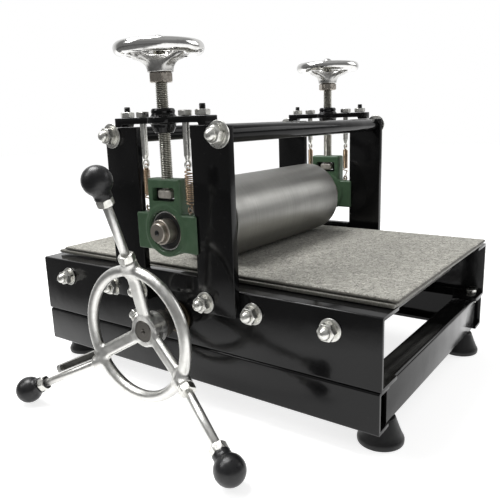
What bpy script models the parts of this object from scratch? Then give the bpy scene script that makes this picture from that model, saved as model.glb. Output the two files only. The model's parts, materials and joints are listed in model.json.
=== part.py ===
"""Tabletop etching press: a frame of channel rails, a bed that slides on rollers, a top
roller in two sliding bearing housings, two pressure screws and a three-armed star wheel.

Metres, +Z up. X runs along the bed, Y across it, and the star wheel is at the -Y side.
The floor is z = 0. All y values below are measured from the middle of the bed; the empty
"press_middle" then shifts the whole press so that its bounding box is centred on x = y = 0.
"""
import math

import bmesh
import bpy
from mathutils import Matrix, Vector

# ---------------------------------------------------------------- driving dimensions
GAP = 0.0003                    # clearance between touching pieces

# frame rails
RAIL_FACE_Y = 0.189             # outer face of both rails
LOWER_RAIL = dict(length=0.523, z=0.030, height=0.047, flange=0.025)
SIDE_RAIL = dict(length=0.527, z=0.0773, height=0.0784, flange=0.040)
RAIL_SHEET = 0.004
RAIL_BEND = 0.005
CROSS_X = 0.2437                # middle of each cross tube
CROSS_WIDTH = 0.030
CROSS_WALL = 0.003
FOOT_X = 0.245
FOOT_Y = 0.1447
FOOT_HEIGHT = 0.0297
FOOT_RADIUS = 0.0255

# end frames (posts, bridge plate, tie bars)
END_FRAME_Y = 0.1943            # middle plane of the posts, housings and screws
POST_THICKNESS = 0.0094
SILL = dict(half_length=0.0421, bottom=0.146, top=0.169)      # bar between two posts' feet
POST_INNER_X = 0.0425
POST_OUTER_X = 0.095
POST_BOTTOM_Z = 0.127
POST_TOP_Z = 0.338
TIE_X = 0.0825
TIE_Z = 0.3285
TIE_TUBE_RADIUS = 0.0096
TIE_ROD_RADIUS = 0.006
TIE_WASHER_RADIUS = 0.0148
BRIDGE_HALF_LENGTH = 0.070
BRIDGE_DEPTH = 0.020
BRIDGE_BOTTOM_Z = 0.3415
BRIDGE_TOP_Z = 0.3487
BRIDGE_PAD_X = 0.059            # inner edge of the end pads that stand on the posts

# support rollers, drive roller and bed
SUPPORT_X = (-0.208, -0.1125, 0.1125, 0.208)
SUPPORT_Z = 0.1335
SUPPORT_RADIUS = 0.0228
SUPPORT_HALF_LENGTH = 0.146
AXLE_RADIUS = 0.006
DRIVE_Z = 0.1104
DRIVE_RADIUS = 0.0459
DRIVE_SHAFT_RADIUS = 0.0125
DRIVE_FAR_Y = 0.197
BUSH_RADIUS = 0.0155
BUSH_FLANGE_RADIUS = 0.020
BUSH_FLANGE_THICKNESS = 0.004
BED_LENGTH = 0.527
BED_WIDTH = 0.324
BOARD_BOTTOM_Z = 0.1566
BOARD_TOP_Z = 0.161
FELT_TOP_Z = 0.166
FELT_X = (-0.254, 0.2675)
FELT_Y = (-0.160, 0.168)

# top roller and its bearing housings
ROLLER_Z = 0.219
ROLLER_RADIUS = 0.0525
ROLLER_HALF_LENGTH = 0.145
JOURNAL_RADIUS = 0.0112
JOURNAL_END_Y = 0.217
BEARING_RADIUS = 0.0235
HOUSING_THICKNESS = 0.018
WING_HALF_WIDTH = 0.0468
WING_TOP = 0.020                # from the bearing axis
WING_BOTTOM = -0.024
WING_DRAFT = 0.0006             # the casting's wings taper by this towards their tips
NOSE_HALF_WIDTH = 0.0255
NOSE_TOP = 0.061
HOUSING_ROUND = 0.031           # radius of the round lower boss
WINDOW_HALF_WIDTH = 0.017
WINDOW_BOTTOM = 0.0345
WINDOW_TOP = 0.0505
GROOVE_WIDTH = 0.0116
GROOVE_BOTTOM_X = 0.0416

# pressure screws and handwheels
SCREW_RADIUS = 0.0068
SCREW_BOTTOM_Z = 0.2575
CAPTIVE_NUT = dict(flats=0.0165, height=0.0095, z=0.2575)
JAM_NUT = dict(flats=0.0245, height=0.0104, z=0.3858)
WHEEL_HUB_Z = 0.3965
WHEEL_HUB_RADIUS = 0.0145
WHEEL_HUB_TOP_Z = 0.424
WHEEL_RIM_RADIUS = 0.0437
WHEEL_RIM_HALF_WIDTH = 0.0067
WHEEL_RIM_HALF_HEIGHT = 0.0072
WHEEL_RIM_Z = 0.4217
WHEEL_SPOKE_ANGLE = 6           # first of three spokes, from +X
CAP_NUT_TOP_Z = 0.436

# springs and the hanger bolts above them
HANGER_X = 0.033
HANGER_RADIUS = 0.0039
HANGER_HEAD = dict(flats=0.0142, height=0.0062)
EYE_Z = 0.296
EYE_RADIUS = 0.0042
SPRING_RADIUS = 0.0038
SPRING_WIRE = 0.0007
SPRING_TURNS = 9
SPRING_TOP_Z = 0.2885
SPRING_BOTTOM_Z = 0.2515
SPRING_FOOT_Z = 0.2442
HOOK_RADIUS = 0.0030

# acorn-nutted rods: washers, hexagon and dome
ACORN_FLATS = 0.0175
ACORN_HEX_HEIGHT = 0.0080
ACORN_DOME_RADIUS = 0.0083
ACORN_LENGTH = 0.0158
WASHER_STACK = 0.0040           # flat washer and spring washer together
AXLE_WASHER_RADIUS = 0.0125

# star wheel
STAR_Y = -0.2592
STAR_RING_RADIUS = 0.0738
STAR_RING_TUBE = 0.0066
STAR_HUB_FRONT_Y = -0.2490
STAR_HUB_BACK_Y = -0.2285
STAR_HUB_RADIUS = 0.0195
SPOKE_WIDTH = 0.017
SPOKE_THICKNESS = 0.0095
# the arms by their angle; each is screwed in to its own depth, so the knobs differ a little
# in their distance from the axis and in y
KNOB_PLACES = {90: (0.1765, -0.2955), 210: (0.1840, -0.3015), 330: (0.1835, -0.2990)}
KNOB_RADIUS = 0.0166
KNOB_NECK_RADIUS = 0.0094
KNOB_NECK_LENGTH = 0.0028
ARM_BOSS_LENGTH = 0.0125
ARM_BOSS_RADIUS = 0.0095
ARM_ROD_RADIUS = 0.005
ARM_NUT = dict(flats=0.0165, height=0.0085)
TROUGH_ANGLE = 210
TROUGH_LENGTH = 0.060
TROUGH_HALF_WIDTH = 0.0048
TROUGH_DEPTH = 0.0085
TROUGH_WALL = 0.0012
TROUGH_ARM_OFFSET = 0.0085          # how far that arm is set below its spoke
TROUGH_END = 0.005
CLAMP_BOLT_ANGLE = 150
COLLAR_RADIUS = 0.0165
COLLAR_LENGTH = 0.012

# local Z turned to these world directions
TO_Z = (0, 0, 0)
TO_FAR = (math.radians(-90), 0, 0)
TO_NEAR = (math.radians(90), 0, 0)
TO_RIGHT = (math.radians(90), 0, math.radians(90))

SIDES = (("near", -1), ("far", 1))
ENDS = (("left", -1), ("right", 1))


# ---------------------------------------------------------------- scene set-up
def clear_scene():
    for obj in list(bpy.data.objects):
        bpy.data.objects.remove(obj, do_unlink=True)


def new_collection(name):
    collection = bpy.data.collections.new(name)
    bpy.context.scene.collection.children.link(collection)
    return collection


def new_material(name, colour, roughness, metallic):
    material = bpy.data.materials.new(name)
    material.use_nodes = True
    shader = material.node_tree.nodes["Principled BSDF"]
    shader.inputs["Base Color"].default_value = (*colour, 1)
    shader.inputs["Roughness"].default_value = roughness
    shader.inputs["Metallic"].default_value = metallic
    material.diffuse_color = (*colour, 1)
    return material


clear_scene()
PARTS = new_collection("etching_press")
CUTTERS = new_collection("cutters")
LOOKS = {
    "black_paint": ((0.012, 0.012, 0.013), 0.25, 0.0),
    "green_enamel": ((0.035, 0.085, 0.050), 0.40, 0.0),
    "zinc": ((0.62, 0.61, 0.58), 0.30, 1.0),
    "chrome": ((0.78, 0.78, 0.77), 0.12, 1.0),
    "roller_steel": ((0.45, 0.44, 0.42), 0.40, 1.0),
    "bearing_steel": ((0.50, 0.47, 0.43), 0.25, 1.0),
    "bronze": ((0.50, 0.33, 0.16), 0.35, 1.0),
    "spring_wire": ((0.50, 0.38, 0.24), 0.30, 1.0),
    "rubber": ((0.015, 0.015, 0.015), 0.70, 0.0),
    "knob_plastic": ((0.018, 0.018, 0.020), 0.30, 0.0),
    "felt": ((0.36, 0.35, 0.32), 0.95, 0.0),
    "bed_board": ((0.22, 0.22, 0.20), 0.55, 0.0),
}


# ---------------------------------------------------------------- groups that move
def new_group(name, at, parent=None):
    """An empty on a joint's axis; `at` is measured from the middle of the press."""
    empty = bpy.data.objects.new(name, None)
    PARTS.objects.link(empty)
    origin = Vector(at)
    if parent:
        empty.parent = parent
        origin -= Vector(parent["middle"])
    empty.location = origin
    empty["middle"] = tuple(at)
    return empty


PRESS = new_group("press_middle", (0, 0, 0))


# ---------------------------------------------------------------- shape helpers
def add(name, data, look=None, at=(0, 0, 0), turn=TO_Z, group=PRESS, cutter=False):
    """Link an object at a place measured from the middle of the press."""
    obj = bpy.data.objects.new(name, data)
    (CUTTERS if cutter else PARTS).objects.link(obj)
    obj.parent = group
    obj.location = Vector(at) - Vector(group["middle"])
    obj.rotation_euler = turn
    if cutter:
        obj.hide_render = True
        obj.display_type = "WIRE"
    else:
        data.materials.append(new_material(name + "_" + look, *LOOKS[look]))
    return obj


def smooth(mesh, angle=35):
    mesh.shade_smooth()
    mesh.set_sharp_from_angle(angle=math.radians(angle))
    return mesh


def mesh_from(bm, name):
    mesh = bpy.data.meshes.new(name)
    bm.to_mesh(mesh)
    bm.free()
    return mesh


def box_mesh(name, size, bevel=0.0):
    bm = bmesh.new()
    bmesh.ops.create_cube(bm, size=1.0)
    bmesh.ops.scale(bm, vec=size, verts=bm.verts)
    if bevel:
        bmesh.ops.bevel(bm, geom=bm.edges, offset=bevel, segments=1, affect="EDGES")
    return mesh_from(bm, name)


def rod_mesh(name, radius, length, segments=24, top_radius=None):
    """A cylinder, cone or prism standing on z = 0 and pointing along +Z."""
    bm = bmesh.new()
    top = radius if top_radius is None else top_radius
    lift = Matrix.Translation((0, 0, length / 2))
    bmesh.ops.create_cone(bm, cap_ends=True, segments=segments, radius1=radius,
                          radius2=top, depth=length, matrix=lift)
    return smooth(mesh_from(bm, name))


def hexagon_mesh(name, flats, height):
    return rod_mesh(name, flats / math.sqrt(3), height, segments=6)


def turned(obj, steps):
    """Spin the profile that the object's mesh holds around its local Z axis."""
    screw = obj.modifiers.new("turned", "SCREW")
    screw.axis = "Z"
    screw.steps = steps
    screw.render_steps = steps
    screw.use_merge_vertices = True
    screw.merge_threshold = 0.00001
    return obj


def profile_mesh(name, points, closed=False):
    """A chain of (radius, height) points in the XZ plane, running down its outer side."""
    mesh = bpy.data.meshes.new(name)
    edges = [(i, i + 1) for i in range(len(points) - 1)]
    if closed:
        edges.append((len(points) - 1, 0))
    mesh.from_pydata([(r, 0, z) for r, z in points], edges, [])
    return mesh


def turned_mesh(name, points, steps=24, closed=False):
    """The finished mesh of a turned profile, for shapes that are cut or joined later."""
    obj = bpy.data.objects.new(name, profile_mesh(name, points, closed))
    CUTTERS.objects.link(obj)
    turned(obj, steps)
    mesh = bpy.data.meshes.new_from_object(evaluated(obj))
    bpy.data.objects.remove(obj)
    return smooth(mesh)


def evaluated(obj):
    bpy.context.view_layer.update()
    return obj.evaluated_get(bpy.context.evaluated_depsgraph_get())


def arc(centre, radius, start, end, steps):
    """Points of an arc in degrees, both ends included."""
    angles = [math.radians(start + (end - start) * i / steps) for i in range(steps + 1)]
    return [(centre[0] + radius * math.cos(a), centre[1] + radius * math.sin(a)) for a in angles]


def rounded(corners, steps=3):
    """An outline from (x, y, corner radius) triples, with each corner as an arc."""
    outline = []
    count = len(corners)
    for i, (x, y, radius) in enumerate(corners):
        corner = Vector((x, y))
        if radius == 0:
            outline.append((x, y))
            continue
        before = (Vector(corners[i - 1][:2]) - corner).normalized()
        after = (Vector(corners[(i + 1) % count][:2]) - corner).normalized()
        half = before.angle(after) / 2
        centre = corner + (before + after).normalized() * radius / math.sin(half)
        first = corner + before * radius / math.tan(half) - centre
        last = corner + after * radius / math.tan(half) - centre
        sweep = first.angle_signed(last)
        for k in range(steps + 1):
            turn = Matrix.Rotation(-sweep * k / steps, 2)
            outline.append(tuple(centre + turn @ first))
    return outline


def plate_mesh(name, outlines, thickness):
    """A flat plate from 2D outlines (the later ones are its holes), centred on z = 0."""
    curve = bpy.data.curves.new(name, "CURVE")
    curve.dimensions = "2D"
    curve.fill_mode = "BOTH"
    curve.extrude = thickness / 2
    for outline in outlines:
        spline = curve.splines.new("POLY")
        spline.points.add(len(outline) - 1)
        for point, (x, y) in zip(spline.points, outline):
            point.co = (x, y, 0, 1)
        spline.use_cyclic_u = True
    return curve_to_mesh(curve)


def tube_curve(name, points, radius, resolution=2):
    """A round wire or rod along a chain of points, with filled ends."""
    curve = bpy.data.curves.new(name, "CURVE")
    curve.dimensions = "3D"
    curve.bevel_depth = radius
    curve.bevel_resolution = resolution
    curve.use_fill_caps = True
    spline = curve.splines.new("POLY")
    spline.points.add(len(points) - 1)
    for point, place in zip(spline.points, points):
        point.co = (*place, 1)
    return curve


def curve_to_mesh(curve):
    """A curve's welded mesh, so that it can be cut or joined."""
    obj = bpy.data.objects.new(curve.name, curve)
    CUTTERS.objects.link(obj)
    mesh = bpy.data.meshes.new_from_object(evaluated(obj))
    bpy.data.objects.remove(obj)
    bm = bmesh.new()
    bm.from_mesh(mesh)
    bmesh.ops.remove_doubles(bm, verts=bm.verts, dist=0.00001)
    bmesh.ops.recalc_face_normals(bm, faces=bm.faces)
    bm.to_mesh(mesh)
    bm.free()
    return smooth(mesh)


def combine(obj, mesh, at, turn=TO_Z, operation="DIFFERENCE"):
    """Cut a shape out of an object, or join it on, with a Boolean modifier."""
    number = len(obj.modifiers)
    tool = add(f"{obj.name}_tool_{number}", mesh, at=at, turn=turn, group=obj.parent,
               cutter=True)
    boolean = obj.modifiers.new(f"{operation.lower()}_{number}", "BOOLEAN")
    boolean.operation = operation
    boolean.object = tool
    boolean.solver = "EXACT"
    return tool


def bore(obj, radius, at, turn, length, segments=24):
    """Drill a round hole that is centred on `at` and runs along the turned local Z."""
    mesh = rod_mesh("drill", radius, length, segments)
    mesh.transform(Matrix.Translation((0, 0, -length / 2)))
    return combine(obj, mesh, at, turn)


def join(obj, mesh, at, turn=TO_Z):
    return combine(obj, mesh, at, turn, "UNION")


# ---------------------------------------------------------------- frame
def channel_outline(height, flange, side):
    """A bent C section in (y, z), standing on z = 0 with its web's outer face at y = 0."""
    corners = [(0, 0, RAIL_BEND), (flange, 0, 0), (flange, RAIL_SHEET, 0),
               (RAIL_SHEET, RAIL_SHEET, RAIL_BEND - RAIL_SHEET),
               (RAIL_SHEET, height - RAIL_SHEET, RAIL_BEND - RAIL_SHEET),
               (flange, height - RAIL_SHEET, 0), (flange, height, 0), (0, height, RAIL_BEND)]
    outline = rounded(corners)
    return [(-side * y, z) for y, z in outline]


def channel_rail(name, size, side):
    outline = channel_outline(size["height"], size["flange"], side)
    mesh = plate_mesh(name, [outline], size["length"])
    return add(name, mesh, "black_paint", (0, side * RAIL_FACE_Y, size["z"]), TO_RIGHT)


def make_rails():
    web_y = RAIL_FACE_Y - RAIL_SHEET / 2
    for name, side in SIDES:
        channel_rail(f"{name}_lower_rail", LOWER_RAIL, side)
        rail = channel_rail(f"{name}_side_rail", SIDE_RAIL, side)
        for x in SUPPORT_X:
            bore(rail, AXLE_RADIUS + GAP, (x, side * web_y, SUPPORT_Z), TO_FAR, 0.02, 14)
        bore(rail, BUSH_RADIUS + GAP, (0, side * web_y, DRIVE_Z), TO_FAR, 0.02, 24)
        inner = web_y
        outer = END_FRAME_Y + POST_THICKNESS / 2
        sill = (2 * SILL["half_length"], outer - inner, SILL["top"] - SILL["bottom"])
        join(rail, box_mesh("sill", sill),
             (0, side * (outer + inner) / 2, (SILL["top"] + SILL["bottom"]) / 2))


def make_cross_members():
    height = LOWER_RAIL["height"] - 0.0006
    half_length = RAIL_FACE_Y - LOWER_RAIL["flange"] - GAP
    half = CROSS_WIDTH / 2
    inner = half - CROSS_WALL
    outside = rounded([(-half, 0, 0.003), (half, 0, 0.003), (half, height, 0.003),
                       (-half, height, 0.003)])
    inside = rounded([(-inner, CROSS_WALL, 0), (inner, CROSS_WALL, 0),
                      (inner, height - CROSS_WALL, 0), (-inner, height - CROSS_WALL, 0)])
    for name, end in ENDS:
        mesh = plate_mesh(f"{name}_cross_member", [outside, inside], 2 * half_length)
        add(f"{name}_cross_member", mesh, "black_paint",
            (end * CROSS_X, 0, LOWER_RAIL["z"] + 0.0003), TO_NEAR)


def make_feet():
    """Rubber bells with a screw recess in the sole."""
    recess = 0.0085
    profile = [(0, FOOT_HEIGHT), (0.0155, FOOT_HEIGHT), (0.0178, FOOT_HEIGHT * 0.62),
               (0.0215, FOOT_HEIGHT * 0.30), (FOOT_RADIUS, 0.0055), (FOOT_RADIUS - 0.0012, 0),
               (recess, 0), (recess, 0.012), (0, 0.012)]
    for side_name, side in SIDES:
        for end_name, end in ENDS:
            name = f"{side_name}_{end_name}_foot"
            mesh = turned_mesh(name, profile, 18)
            add(name, mesh, "rubber", (end * FOOT_X, side * FOOT_Y, 0))


def make_posts():
    width = POST_OUTER_X - POST_INNER_X
    height = POST_TOP_Z - POST_BOTTOM_Z
    middle_x = (POST_OUTER_X + POST_INNER_X) / 2
    for side_name, side in SIDES:
        for end_name, end in ENDS:
            name = f"{side_name}_{end_name}_post"
            mesh = box_mesh(name, (width, POST_THICKNESS, height), 0.0007)
            at = (end * middle_x, side * END_FRAME_Y, POST_BOTTOM_Z + height / 2)
            post = add(name, mesh, "black_paint", at)
            bore(post, TIE_ROD_RADIUS + GAP, (end * TIE_X, side * END_FRAME_Y, TIE_Z), TO_FAR,
                 0.03, 14)


def make_bridge_plates():
    """A bar on two end pads, with a threaded collar welded through its middle."""
    bottom = BRIDGE_BOTTOM_Z
    pad_bottom = POST_TOP_Z + GAP
    half = BRIDGE_HALF_LENGTH
    outline = rounded([(-half, pad_bottom, 0.0008), (-BRIDGE_PAD_X, pad_bottom, 0.0008),
                       (-BRIDGE_PAD_X, bottom, 0.001), (BRIDGE_PAD_X, bottom, 0.001),
                       (BRIDGE_PAD_X, pad_bottom, 0.0008), (half, pad_bottom, 0.0008),
                       (half, BRIDGE_TOP_Z, 0.001), (-half, BRIDGE_TOP_Z, 0.001)], 2)
    collar = [(0, 0.0270), (0.0120, 0.0270), (0.0137, 0.0253), (0.0137, 0.0225),
              (0.0190, 0.0165), (0.0140, 0.0105), (0.0136, 0.0065), (0.0103, 0), (0, 0)]
    for name, side in SIDES:
        y = side * END_FRAME_Y
        mesh = plate_mesh(f"{name}_bridge_plate", [outline], BRIDGE_DEPTH)
        plate = add(f"{name}_bridge_plate", mesh, "black_paint", (0, y, 0), TO_NEAR)
        join(plate, turned_mesh("collar", collar, 18), (0, y, 0.331))
        bore(plate, SCREW_RADIUS + GAP, (0, y, 0.345), TO_Z, 0.06, 16)
        for end in (-1, 1):
            bore(plate, HANGER_RADIUS + GAP, (end * HANGER_X, y, 0.345), TO_Z, 0.03, 12)


def acorn_rod(name, look, rod_radius, x, z, half_length, washer_radius):
    """A rod across the press with washers and an acorn nut at each end."""
    face = half_length + GAP
    nut = face + WASHER_STACK
    dome = nut + ACORN_HEX_HEIGHT
    rise = ACORN_LENGTH - ACORN_HEX_HEIGHT
    upper = [(0, dome + rise)]
    upper += [(ACORN_DOME_RADIUS * math.cos(math.radians(a)),
               dome + rise * math.sin(math.radians(a))) for a in (50, 0)]
    upper += [(ACORN_DOME_RADIUS, nut), (washer_radius, nut), (washer_radius, face),
              (rod_radius, face)]
    profile = upper + [(r, -along) for r, along in reversed(upper)]
    rod = add(name, turned_mesh(name, profile, 14), look, (x, 0, z), TO_FAR)
    for side in (-1, 1):
        start = nut if side > 0 else -dome
        join(rod, hexagon_mesh("nut", ACORN_FLATS, ACORN_HEX_HEIGHT), (x, start, z), TO_FAR)
    return rod


def make_tie_bars():
    inner_half = END_FRAME_Y - POST_THICKNESS / 2 - GAP
    outer_half = END_FRAME_Y + POST_THICKNESS / 2
    bore_radius = TIE_TUBE_RADIUS - 0.002
    for name, end in ENDS:
        profile = [(bore_radius, inner_half), (TIE_TUBE_RADIUS, inner_half),
                   (TIE_TUBE_RADIUS, -inner_half), (bore_radius, -inner_half)]
        tube = turned_mesh(f"{name}_tie_tube", profile, 20, closed=True)
        add(f"{name}_tie_tube", tube, "black_paint", (end * TIE_X, 0, TIE_Z), TO_FAR)
        acorn_rod(f"{name}_tie_rod", "zinc", TIE_ROD_RADIUS, end * TIE_X, TIE_Z, outer_half,
                  TIE_WASHER_RADIUS)


# ---------------------------------------------------------------- rollers and bed
def make_support_rollers():
    """Tube rollers under the bed, each on a fixed axle through both side rails."""
    half = SUPPORT_HALF_LENGTH
    bore_radius = AXLE_RADIUS + GAP
    for number, x in enumerate(SUPPORT_X, 1):
        axis = (x, 0, SUPPORT_Z)
        acorn_rod(f"support_axle_{number}", "zinc", AXLE_RADIUS, x, SUPPORT_Z, RAIL_FACE_Y,
                  AXLE_WASHER_RADIUS)
        group = new_group(f"support_roller_{number}_axis", axis, PRESS)
        profile = [(bore_radius, half), (SUPPORT_RADIUS, half), (SUPPORT_RADIUS, -half),
                   (bore_radius, -half)]
        name = f"support_roller_{number}"
        add(name, turned_mesh(name, profile, 24, closed=True), "roller_steel", axis, TO_FAR,
            group)


def make_bushes():
    inner = RAIL_FACE_Y - RAIL_SHEET
    outer = RAIL_FACE_Y + GAP
    hole = DRIVE_SHAFT_RADIUS + GAP
    flange = outer + BUSH_FLANGE_THICKNESS
    tail = inner - 0.012
    profile = [(hole, flange), (BUSH_FLANGE_RADIUS, flange), (BUSH_FLANGE_RADIUS, outer),
               (BUSH_RADIUS, outer), (BUSH_RADIUS, tail), (hole, tail)]
    for name, side in SIDES:
        turn = TO_FAR if side > 0 else TO_NEAR
        mesh = turned_mesh(f"{name}_shaft_bush", profile, 24, closed=True)
        add(f"{name}_shaft_bush", mesh, "bronze", (0, 0, DRIVE_Z), turn)


def make_bed(group):
    board = (BED_LENGTH, BED_WIDTH, BOARD_TOP_Z - BOARD_BOTTOM_Z)
    add("bed_board", box_mesh("bed_board", board, 0.0006), "bed_board",
        (0, 0, (BOARD_TOP_Z + BOARD_BOTTOM_Z) / 2), group=group)
    felt_bottom = BOARD_TOP_Z + GAP
    felt = (FELT_X[1] - FELT_X[0], FELT_Y[1] - FELT_Y[0], FELT_TOP_Z - felt_bottom)
    add("felt_blanket", box_mesh("felt_blanket", felt, 0.001), "felt",
        ((FELT_X[1] + FELT_X[0]) / 2, (FELT_Y[1] + FELT_Y[0]) / 2,
         (FELT_TOP_Z + felt_bottom) / 2), group=group)


def make_drive_roller(group):
    """Roller and shaft in one turned piece; the near end carries the star wheel."""
    half = SUPPORT_HALF_LENGTH
    shaft = DRIVE_SHAFT_RADIUS
    near = -STAR_HUB_FRONT_Y + 0.0006
    profile = [(0, DRIVE_FAR_Y), (shaft, DRIVE_FAR_Y), (shaft, half), (DRIVE_RADIUS, half),
               (DRIVE_RADIUS, -half), (shaft, -half), (shaft, 0.001 - near),
               (shaft - 0.001, -near), (0, -near)]
    add("drive_roller", turned_mesh("drive_roller", profile, 32), "roller_steel",
        (0, 0, DRIVE_Z), TO_FAR, group)


def make_collar(group):
    """Set collar between the star wheel's hub and the near bush."""
    hole = DRIVE_SHAFT_RADIUS + GAP
    profile = [(hole, COLLAR_LENGTH), (COLLAR_RADIUS, COLLAR_LENGTH), (COLLAR_RADIUS, 0),
               (hole, 0)]
    add("shaft_collar", turned_mesh("shaft_collar", profile, 24, closed=True), "bearing_steel",
        (0, STAR_HUB_BACK_Y + GAP, DRIVE_Z), TO_FAR, group)


def make_top_roller(group):
    half = ROLLER_HALF_LENGTH
    end = JOURNAL_END_Y
    journal = JOURNAL_RADIUS
    upper = [(0, end), (journal - 0.0015, end), (journal, end - 0.0015), (journal, half),
             (ROLLER_RADIUS, half)]
    profile = upper + [(r, -y) for r, y in reversed(upper)]
    add("top_roller", turned_mesh("top_roller", profile, 40), "roller_steel",
        (0, 0, ROLLER_Z), TO_FAR, group)


# ---------------------------------------------------------------- bearing housings
def housing_outline():
    """Front outline of a take-up housing, with z measured from the bearing axis."""
    wing = WING_HALF_WIDTH
    nose = NOSE_HALF_WIDTH
    start = math.degrees(math.asin(WING_BOTTOM / HOUSING_ROUND))
    belly = arc((0, 0), HOUSING_ROUND, -180 - start, start, 8)
    tip_bottom = WING_BOTTOM + WING_DRAFT
    tip_top = WING_TOP - WING_DRAFT
    sides = rounded([(wing, tip_bottom, 0.002), (wing, tip_top, 0.002),
                     (nose, WING_TOP, 0.004), (nose - WING_DRAFT, NOSE_TOP, 0.005),
                     (WING_DRAFT - nose, NOSE_TOP, 0.005), (-nose, WING_TOP, 0.004),
                     (-wing, tip_top, 0.002), (-wing, tip_bottom, 0.002)], 2)
    return belly + sides


def make_housing(name, side, group):
    y = side * END_FRAME_Y
    outline = housing_outline()
    mesh = plate_mesh(f"{name}_bearing_housing", [outline], HOUSING_THICKNESS)
    housing = add(f"{name}_bearing_housing", mesh, "green_enamel", (0, y, ROLLER_Z), TO_NEAR,
                  group)
    bore(housing, BEARING_RADIUS + GAP, (0, y, ROLLER_Z), TO_FAR, 0.04, 24)
    window = box_mesh("window", (2 * WINDOW_HALF_WIDTH, 0.04, WINDOW_TOP - WINDOW_BOTTOM),
                      0.0015)
    combine(housing, window, (0, y, ROLLER_Z + (WINDOW_TOP + WINDOW_BOTTOM) / 2))
    bore(housing, SCREW_RADIUS + GAP, (0, y, ROLLER_Z + NOSE_TOP), TO_Z, 0.026, 16)
    groove_depth = 0.02
    for end in (-1, 1):
        groove = box_mesh("groove", (groove_depth, GROOVE_WIDTH, 0.08))
        combine(housing, groove, (end * (GROOVE_BOTTOM_X + groove_depth / 2), y, ROLLER_Z))


def make_bearing(name, side, group):
    """Bearing insert: outer ring, recessed seals and a long inner ring, as one solid."""
    hole = JOURNAL_RADIUS + GAP
    profile = [(hole, 0.0175), (0.0146, 0.0175), (0.0146, 0.0045), (0.0215, 0.0045),
               (0.0215, 0.0062), (BEARING_RADIUS, 0.0062), (BEARING_RADIUS, -0.0075),
               (0.0146, -0.0075), (0.0146, -0.0125), (hole, -0.0125)]
    turn = TO_FAR if side > 0 else TO_NEAR
    mesh = turned_mesh(f"{name}_bearing", profile, 24, closed=True)
    add(f"{name}_bearing", mesh, "bearing_steel", (0, side * END_FRAME_Y, ROLLER_Z), turn, group)


# ---------------------------------------------------------------- pressure screws
def make_screw(name, y, group):
    """Screw with its captive nut inside the housing's window."""
    top = CAP_NUT_TOP_Z - 0.008
    mesh = rod_mesh(f"{name}_pressure_screw", SCREW_RADIUS, top - SCREW_BOTTOM_Z, 16)
    screw = add(f"{name}_pressure_screw", mesh, "zinc", (0, y, SCREW_BOTTOM_Z), group=group)
    join(screw, hexagon_mesh("nut", CAPTIVE_NUT["flats"], CAPTIVE_NUT["height"]),
         (0, y, CAPTIVE_NUT["z"] - 0.001))
    cap = [(0, 0.0120), (0.0050, 0.0102), (0.0080, 0.0040), (0.0080, 0), (0, 0)]
    join(screw, turned_mesh("cap", cap, 16), (0, y, WHEEL_HUB_TOP_Z + GAP))


def make_jam_nut(name, y, group):
    mesh = hexagon_mesh(f"{name}_jam_nut", JAM_NUT["flats"], JAM_NUT["height"])
    nut = add(f"{name}_jam_nut", mesh, "zinc", (0, y, JAM_NUT["z"]), group=group)
    bore(nut, SCREW_RADIUS + GAP, (0, y, JAM_NUT["z"]), TO_Z, 0.04, 16)


def make_handwheel(name, y, group):
    """Dished wheel: low hub, three rising spokes and a fat rounded rim."""
    rim_points = [(WHEEL_RIM_RADIUS + WHEEL_RIM_HALF_WIDTH * math.cos(math.radians(a)),
                   WHEEL_RIM_HALF_HEIGHT * math.sin(math.radians(a)))
                  for a in range(157, -203, -45)]
    rim = turned_mesh(f"{name}_handwheel", rim_points, 32, closed=True)
    wheel = add(f"{name}_handwheel", rim, "chrome", (0, y, WHEEL_RIM_Z), group=group)
    hub_height = WHEEL_HUB_TOP_Z - WHEEL_HUB_Z
    hub = [(0, hub_height), (0.0115, hub_height), (WHEEL_HUB_RADIUS, 0.0122),
           (WHEEL_HUB_RADIUS, 0), (0, 0)]
    join(wheel, turned_mesh("hub", hub, 20), (0, y, WHEEL_HUB_Z))
    start = Vector((0.008, 0, WHEEL_HUB_Z + 0.0147))
    end = Vector((WHEEL_RIM_RADIUS, 0, WHEEL_RIM_Z - 0.0015))
    along = end - start
    slope = Matrix.Rotation(-math.atan2(along.z, along.x), 4, "Y")
    for number in range(3):
        spoke = box_mesh("spoke", (along.length, 0.014, 0.0075), 0.0022)
        around = Matrix.Rotation(math.radians(WHEEL_SPOKE_ANGLE + 120 * number), 4, "Z")
        middle = (start + end) / 2
        spoke.transform(around @ Matrix.Translation(middle) @ slope)
        join(wheel, spoke, (0, y, 0))
    bore(wheel, SCREW_RADIUS + GAP, (0, y, 0.41), TO_Z, 0.06, 16)


# ---------------------------------------------------------------- springs
def make_hanger_bolt(name, x, y):
    """A bolt through the bridge plate that ends in an eye for the spring."""
    rod_bottom = EYE_Z + EYE_RADIUS
    head_z = BRIDGE_TOP_Z + GAP
    mesh = rod_mesh(name, HANGER_RADIUS, head_z - rod_bottom + 0.001, 12)
    bolt = add(name, mesh, "zinc", (x, y, rod_bottom))
    join(bolt, hexagon_mesh("head", HANGER_HEAD["flats"], HANGER_HEAD["height"]), (x, y, head_z))
    eye_wire = 0.0014
    section = [math.radians(a) for a in range(150, -210, -90)]
    ring = [(EYE_RADIUS + eye_wire * math.cos(a), eye_wire * math.sin(a)) for a in section]
    join(bolt, turned_mesh("eye", ring, 12, closed=True), (x, y, EYE_Z), TO_FAR)


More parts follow.
